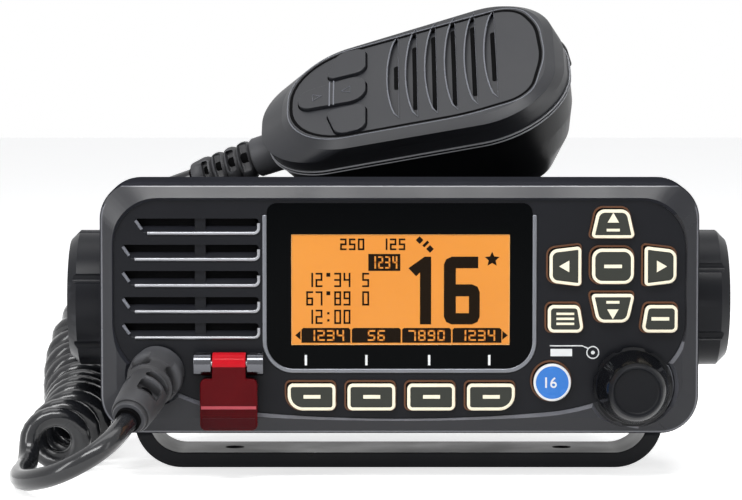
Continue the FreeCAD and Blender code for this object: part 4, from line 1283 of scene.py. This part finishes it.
def pill(u, low, high, wide):
    """A long slit with round ends."""
    half = wide / 2
    turns = [math.pi * step / 8 for step in range(9)]
    return ([(u + half * math.cos(a), high - half + half * math.sin(a)) for a in turns]
            + [(u - half * math.cos(a), low + half - half * math.sin(a)) for a in turns])


def prism(name, outline, low, high):
    """A solid on the microphone: an outline of (u, v) points between two heights."""
    made = extruded(name, [(u, v, low) for u, v in outline], (0, 0, high - low))
    made.data.transform(MIC_PLACE)
    return made


# %% Front shell
SLOTS = [(-6.4, 38.6, 0.38, 0.67), (-1.0, 42, 0.11, 0.83), (4.6, 43, 0.06, 0.89), (10.3, 44, 0.07, 0.9),
         (16.0, 43.5, 0.12, 0.89), (21.7, 41.6, 0.22, 0.79)]      # place, length, ends of the slit


def beside_openings(p):
    """True for points on the microphone's outer curves, away from its slots and keys."""
    u, v, w = in_mic(p)
    side = 19.8 + (u + 37) / 74 * 7.5      # half the face's width, which grows from 19.8 to 27.3
    return abs(v) > side - 1.2 or u > 26 or u < -34.6


shell = fresh("mic_front_shell", "mic_face_shell")
edit(shell)
take(shell, "EDGE", lambda p: beside_openings(p) and in_mic(p)[2] > -8.9, sharp=9)
bpy.ops.mesh.bevel(offset=1.8 * MM, segments=5, clamp_overlap=True)
leave()
plug = prism("plug", [(-9, -20.4), (25, -21), (25, 24.6), (-9, 22)], -2.2, 0.0)
carve(shell, [plug], "UNION")
carve(shell, [prism("slot", crescent(u, length + 1), -1.1, 1) for u, length, low, high in SLOTS])
smooth(shell, 30, even=False)
edit(shell)
take(shell, "FACE", lambda p: abs(in_mic(p)[2]) < 0.03)
bpy.ops.mesh.faces_shade_flat()
done(shell, MIC_FRONT, "microphone")
# Painted shade on the side below the face.
paint_each(shell, [MIC_PAINTED_SHADE], lambda middle, normal:
           MIC_PAINTED_SHADE if beside_openings(middle) and in_mic(middle)[2] < -0.02 else None)

# %% Rims and slits of the slots
# The rims' grey is a painted highlight and the slits' black is painted shade.
rims, slits = [], []
for u, length, low, high in SLOTS:
    line = [mic(a, b, 0.0) for a, b in crescent(u, length + 1)]
    rims.append(bead("rim", line, 0.24, closed=True))
    slit = pill(u + 0.75, SLOT_V + length * (low - 0.5), SLOT_V + length * (high - 0.5), 1.5)
    slits.append(prism("slit", slit, -1.2, -1.0))
done(joined("mic_slot_rims", rims), GREY_PAINTED_HIGHLIGHT, "microphone")
done(joined("mic_slit_painted_shade", slits), CLOTH_AND_PAINTED_SHADE, "microphone")
# The groove's dark bead is painted shade and the grey line outside it is a painted highlight.
for name, out, depth, size, finish in (("mic_face_groove_shade", -0.2, 0.35, 0.62, CLOTH_AND_PAINTED_SHADE),
                                       ("mic_face_highlight_line", 0.75, 0.12, 0.2, GREY_PAINTED_HIGHLIGHT)):
    corners = [(-36.4 - out, -19.0 - out, 18.5), (14, -23.6 - out, 60), (32.2 + out / 2, -21.8 - out, 9),
               (36.3 + out, -4.8, 30), (35.3 + out, 10.5, 24), (29.6 + out, 22.8 + out, 10),
               (-36.4 - out, 19.0 + out, 18.5)]
    line = [mic(p[0], p[1], -depth) for p in rounded(corners, 10)]
    done(bead(name, line, size, closed=True), finish, "microphone")

# %% Rear shell, strip and keys
rear = fresh("mic_rear_shell", "mic_back_shell")
soften(rear, 1.2, segments=3, angle=10, limit=40)
done(rear, MIC_REAR, "microphone")
for name, w, grow, size, finish in (("mic_strip_bead", -9.6, 0.0, 0.5, MIC_REAR),
                                    ("mic_strip_line_1", -9.2, 0.3, 0.22, STRIP),
                                    ("mic_strip_line_2", -10.1, 0.3, 0.22, STRIP)):
    seam = rounded(egg(-45.0 - grow, 20.0 + grow, 19.5, 41.6 + grow, 28.0 + grow, 23.5), 14)
    done(bead(name, [mic(p[0], p[1], w) for p in seam], size, closed=True, fineness=3), finish, "microphone")
for node in ("mic_key_upper", "mic_key_lower", "mic_rocker"):
    piece = fresh(node)
    soften(piece, 0.45)
    done(piece, MIC_FRONT, node)
TOP = 1.0
bars = [prism("line", [(a, -6.0), (a + 0.35, -6.0), (a + 0.35, 5.5), (a, 5.5)], TOP - 0.1, TOP + 0.12)
        for a in (-24.8, -23.6)]
arrows = [[(-29.6, -1.8), (-27.0, -0.3), (-29.6, 1.2)], [(-18.6, 1.2), (-21.2, -0.3), (-18.6, -1.8)]]
bars += [bead("arrow", [mic(a, b, TOP + 0.02) for a, b in line], 0.13, closed=True) for line in arrows]
# The rocker's raised marks are grey as a painted highlight.
done(joined("mic_rocker_marks", bars), GREY_PAINTED_HIGHLIGHT, "mic_rocker")

# %% Push-to-talk plate
outside = rounded(egg(-45.0, 20.6, 19.5, 41.6, 28.9, 17.0), 20)
outer = [p for p in outside if p[1] > 10.5 and p[0] > 20]
start = Vector((-10.0, outer[-1][1] - (outer[-1][0] + 10) * 0.0924))
hub = Vector((18.1, 4.5))
inner = [hub + (p - hub) * 0.8 for p in outer]
ptt = prism("ptt_plate", outer + [start, start - Vector((0, 2.6))] + inner[::-1], -17.0, -11.4)
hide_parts("mic_ptt")
soften(ptt, 0.7)
done(ptt, MIC_REAR, "mic_ptt")

# %% [markdown]
# ## The distress key's cover
#
# Clear red polycarbonate on two polished black hinge barrels. The flap has a ledge with fine ribs under
# it for a fingernail, and a thick lower lip. Its neck between the barrels is a lighter red as painted
# light, the ledge a pale red as a painted highlight and the lip a deeper red as painted shade.

# %% Cover and barrels
posts = fresh("cover_posts", "hinge_barrels")
soften(posts, 1.7, segments=5)
done(posts, DARK_CHROME, "radio")
flap = fresh("distress_cover", "red_cover")
soften(flap, 0.45)
done(flap, RED, "distress_cover")
# The neck at the top is painted a lighter red as painted light.
paint(flap, RED_PAINTED_LIGHT, lambda p: p.z > 30.2)
done(block("red_cover_ledge", (-51.2, -45.5, 19.6), (-37.0, -44.8, 20.4)), RED_PAINTED_HIGHLIGHT, "distress_cover")
ribs = [block("rib", (-51.0, -45.25, z), (-37.2, -44.8, z + 0.3)) for z in (17.9, 18.5, 19.1)]
lip = block("lip", (-51.2, -45.4, 14.4), (-37.0, -44.8, 17.4))
soften(lip, 0.3)
done(joined("red_cover_ribs", ribs), RED, "distress_cover")
# The lip's deeper red is painted shade.
done(lip, RED_PAINTED_SHADE, "distress_cover")


# %% Clamp knobs, chassis and bracket
STUD_Z = 45.0
KNOB_END_X, KNOB_CUT = 87, 1.8


def shorten(knob, angle):
    """Turns a clamp knob about its stud and moves its outer end in."""
    axis = Vector((0, 0, STUD_Z)) * MM
    knob.data.transform(Matrix.Translation(axis) @ Matrix.Rotation(math.radians(angle), 4, "X")
                        @ Matrix.Translation(-axis))
    for point in knob.data.vertices:
        if abs(point.co.x) > KNOB_END_X * MM:
            point.co.x -= math.copysign(KNOB_CUT * MM, point.co.x)


for node, width, body, finish in (("chassis", 0.7, "radio", CASTING), ("bracket", 0.8, "bracket", BRACKET),
                                  ("clamp_knob_left", 0.8, "left_knob", BRACKET),
                                  ("clamp_knob_right", 0.8, "right_knob", BRACKET)):
    piece = fresh(node)
    if body.endswith("knob"):
        shorten(piece, 10 if body == "left_knob" else 0)
    soften(piece, width)
    done(piece, finish, body)

# %% [markdown]
# ## The CAD parts that stay
#
# A part that the mould leaves plain needs no new mesh: it keeps its CAD shape and takes the finish of
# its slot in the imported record.

# %% Finishes by slot
BY_SLOT = {
    "case_plastic": CASE, "panel_plastic": PANEL, "window_black": WINDOW, "trim_silver": TRIM_PAINTED_HIGHLIGHT,
    "lcd_amber": AMBER, "key_plastic": KEYTOP, "key_blue": BLUE, "distress_red": RED,
    "button_red": RED_KEY, "gloss_black": GLOSS, "bracket_plastic": BRACKET, "chassis_metal": CASTING,
    "black_rubber": RUBBER, "cable_jacket": JACKET, "mic_front": MIC_FRONT, "mic_rear": MIC_REAR,
    "strip_grey": STRIP, "steel": STEEL, "nickel": NICKEL, "board_green": BOARD, "mesh_black": CLOTH_AND_PAINTED_SHADE,
    "speaker_black": RUBBER,
}
for part in frame["record"]["subparts"]:
    node = NODES[part["node"]]
    node.data.materials.clear()
    node.data.materials.append(BY_SLOT[part["material_slot"]])
print(len(NODES), "CAD nodes finished")

# %% [markdown]
# ## Measure and finish
#
# The dressed set has to stay the size of the CAD model, so the box round everything that renders is
# printed.

# %% Sizes
low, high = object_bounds()
print("visual box, mm:", [round(v / MM, 1) for v in (*low, *high)])
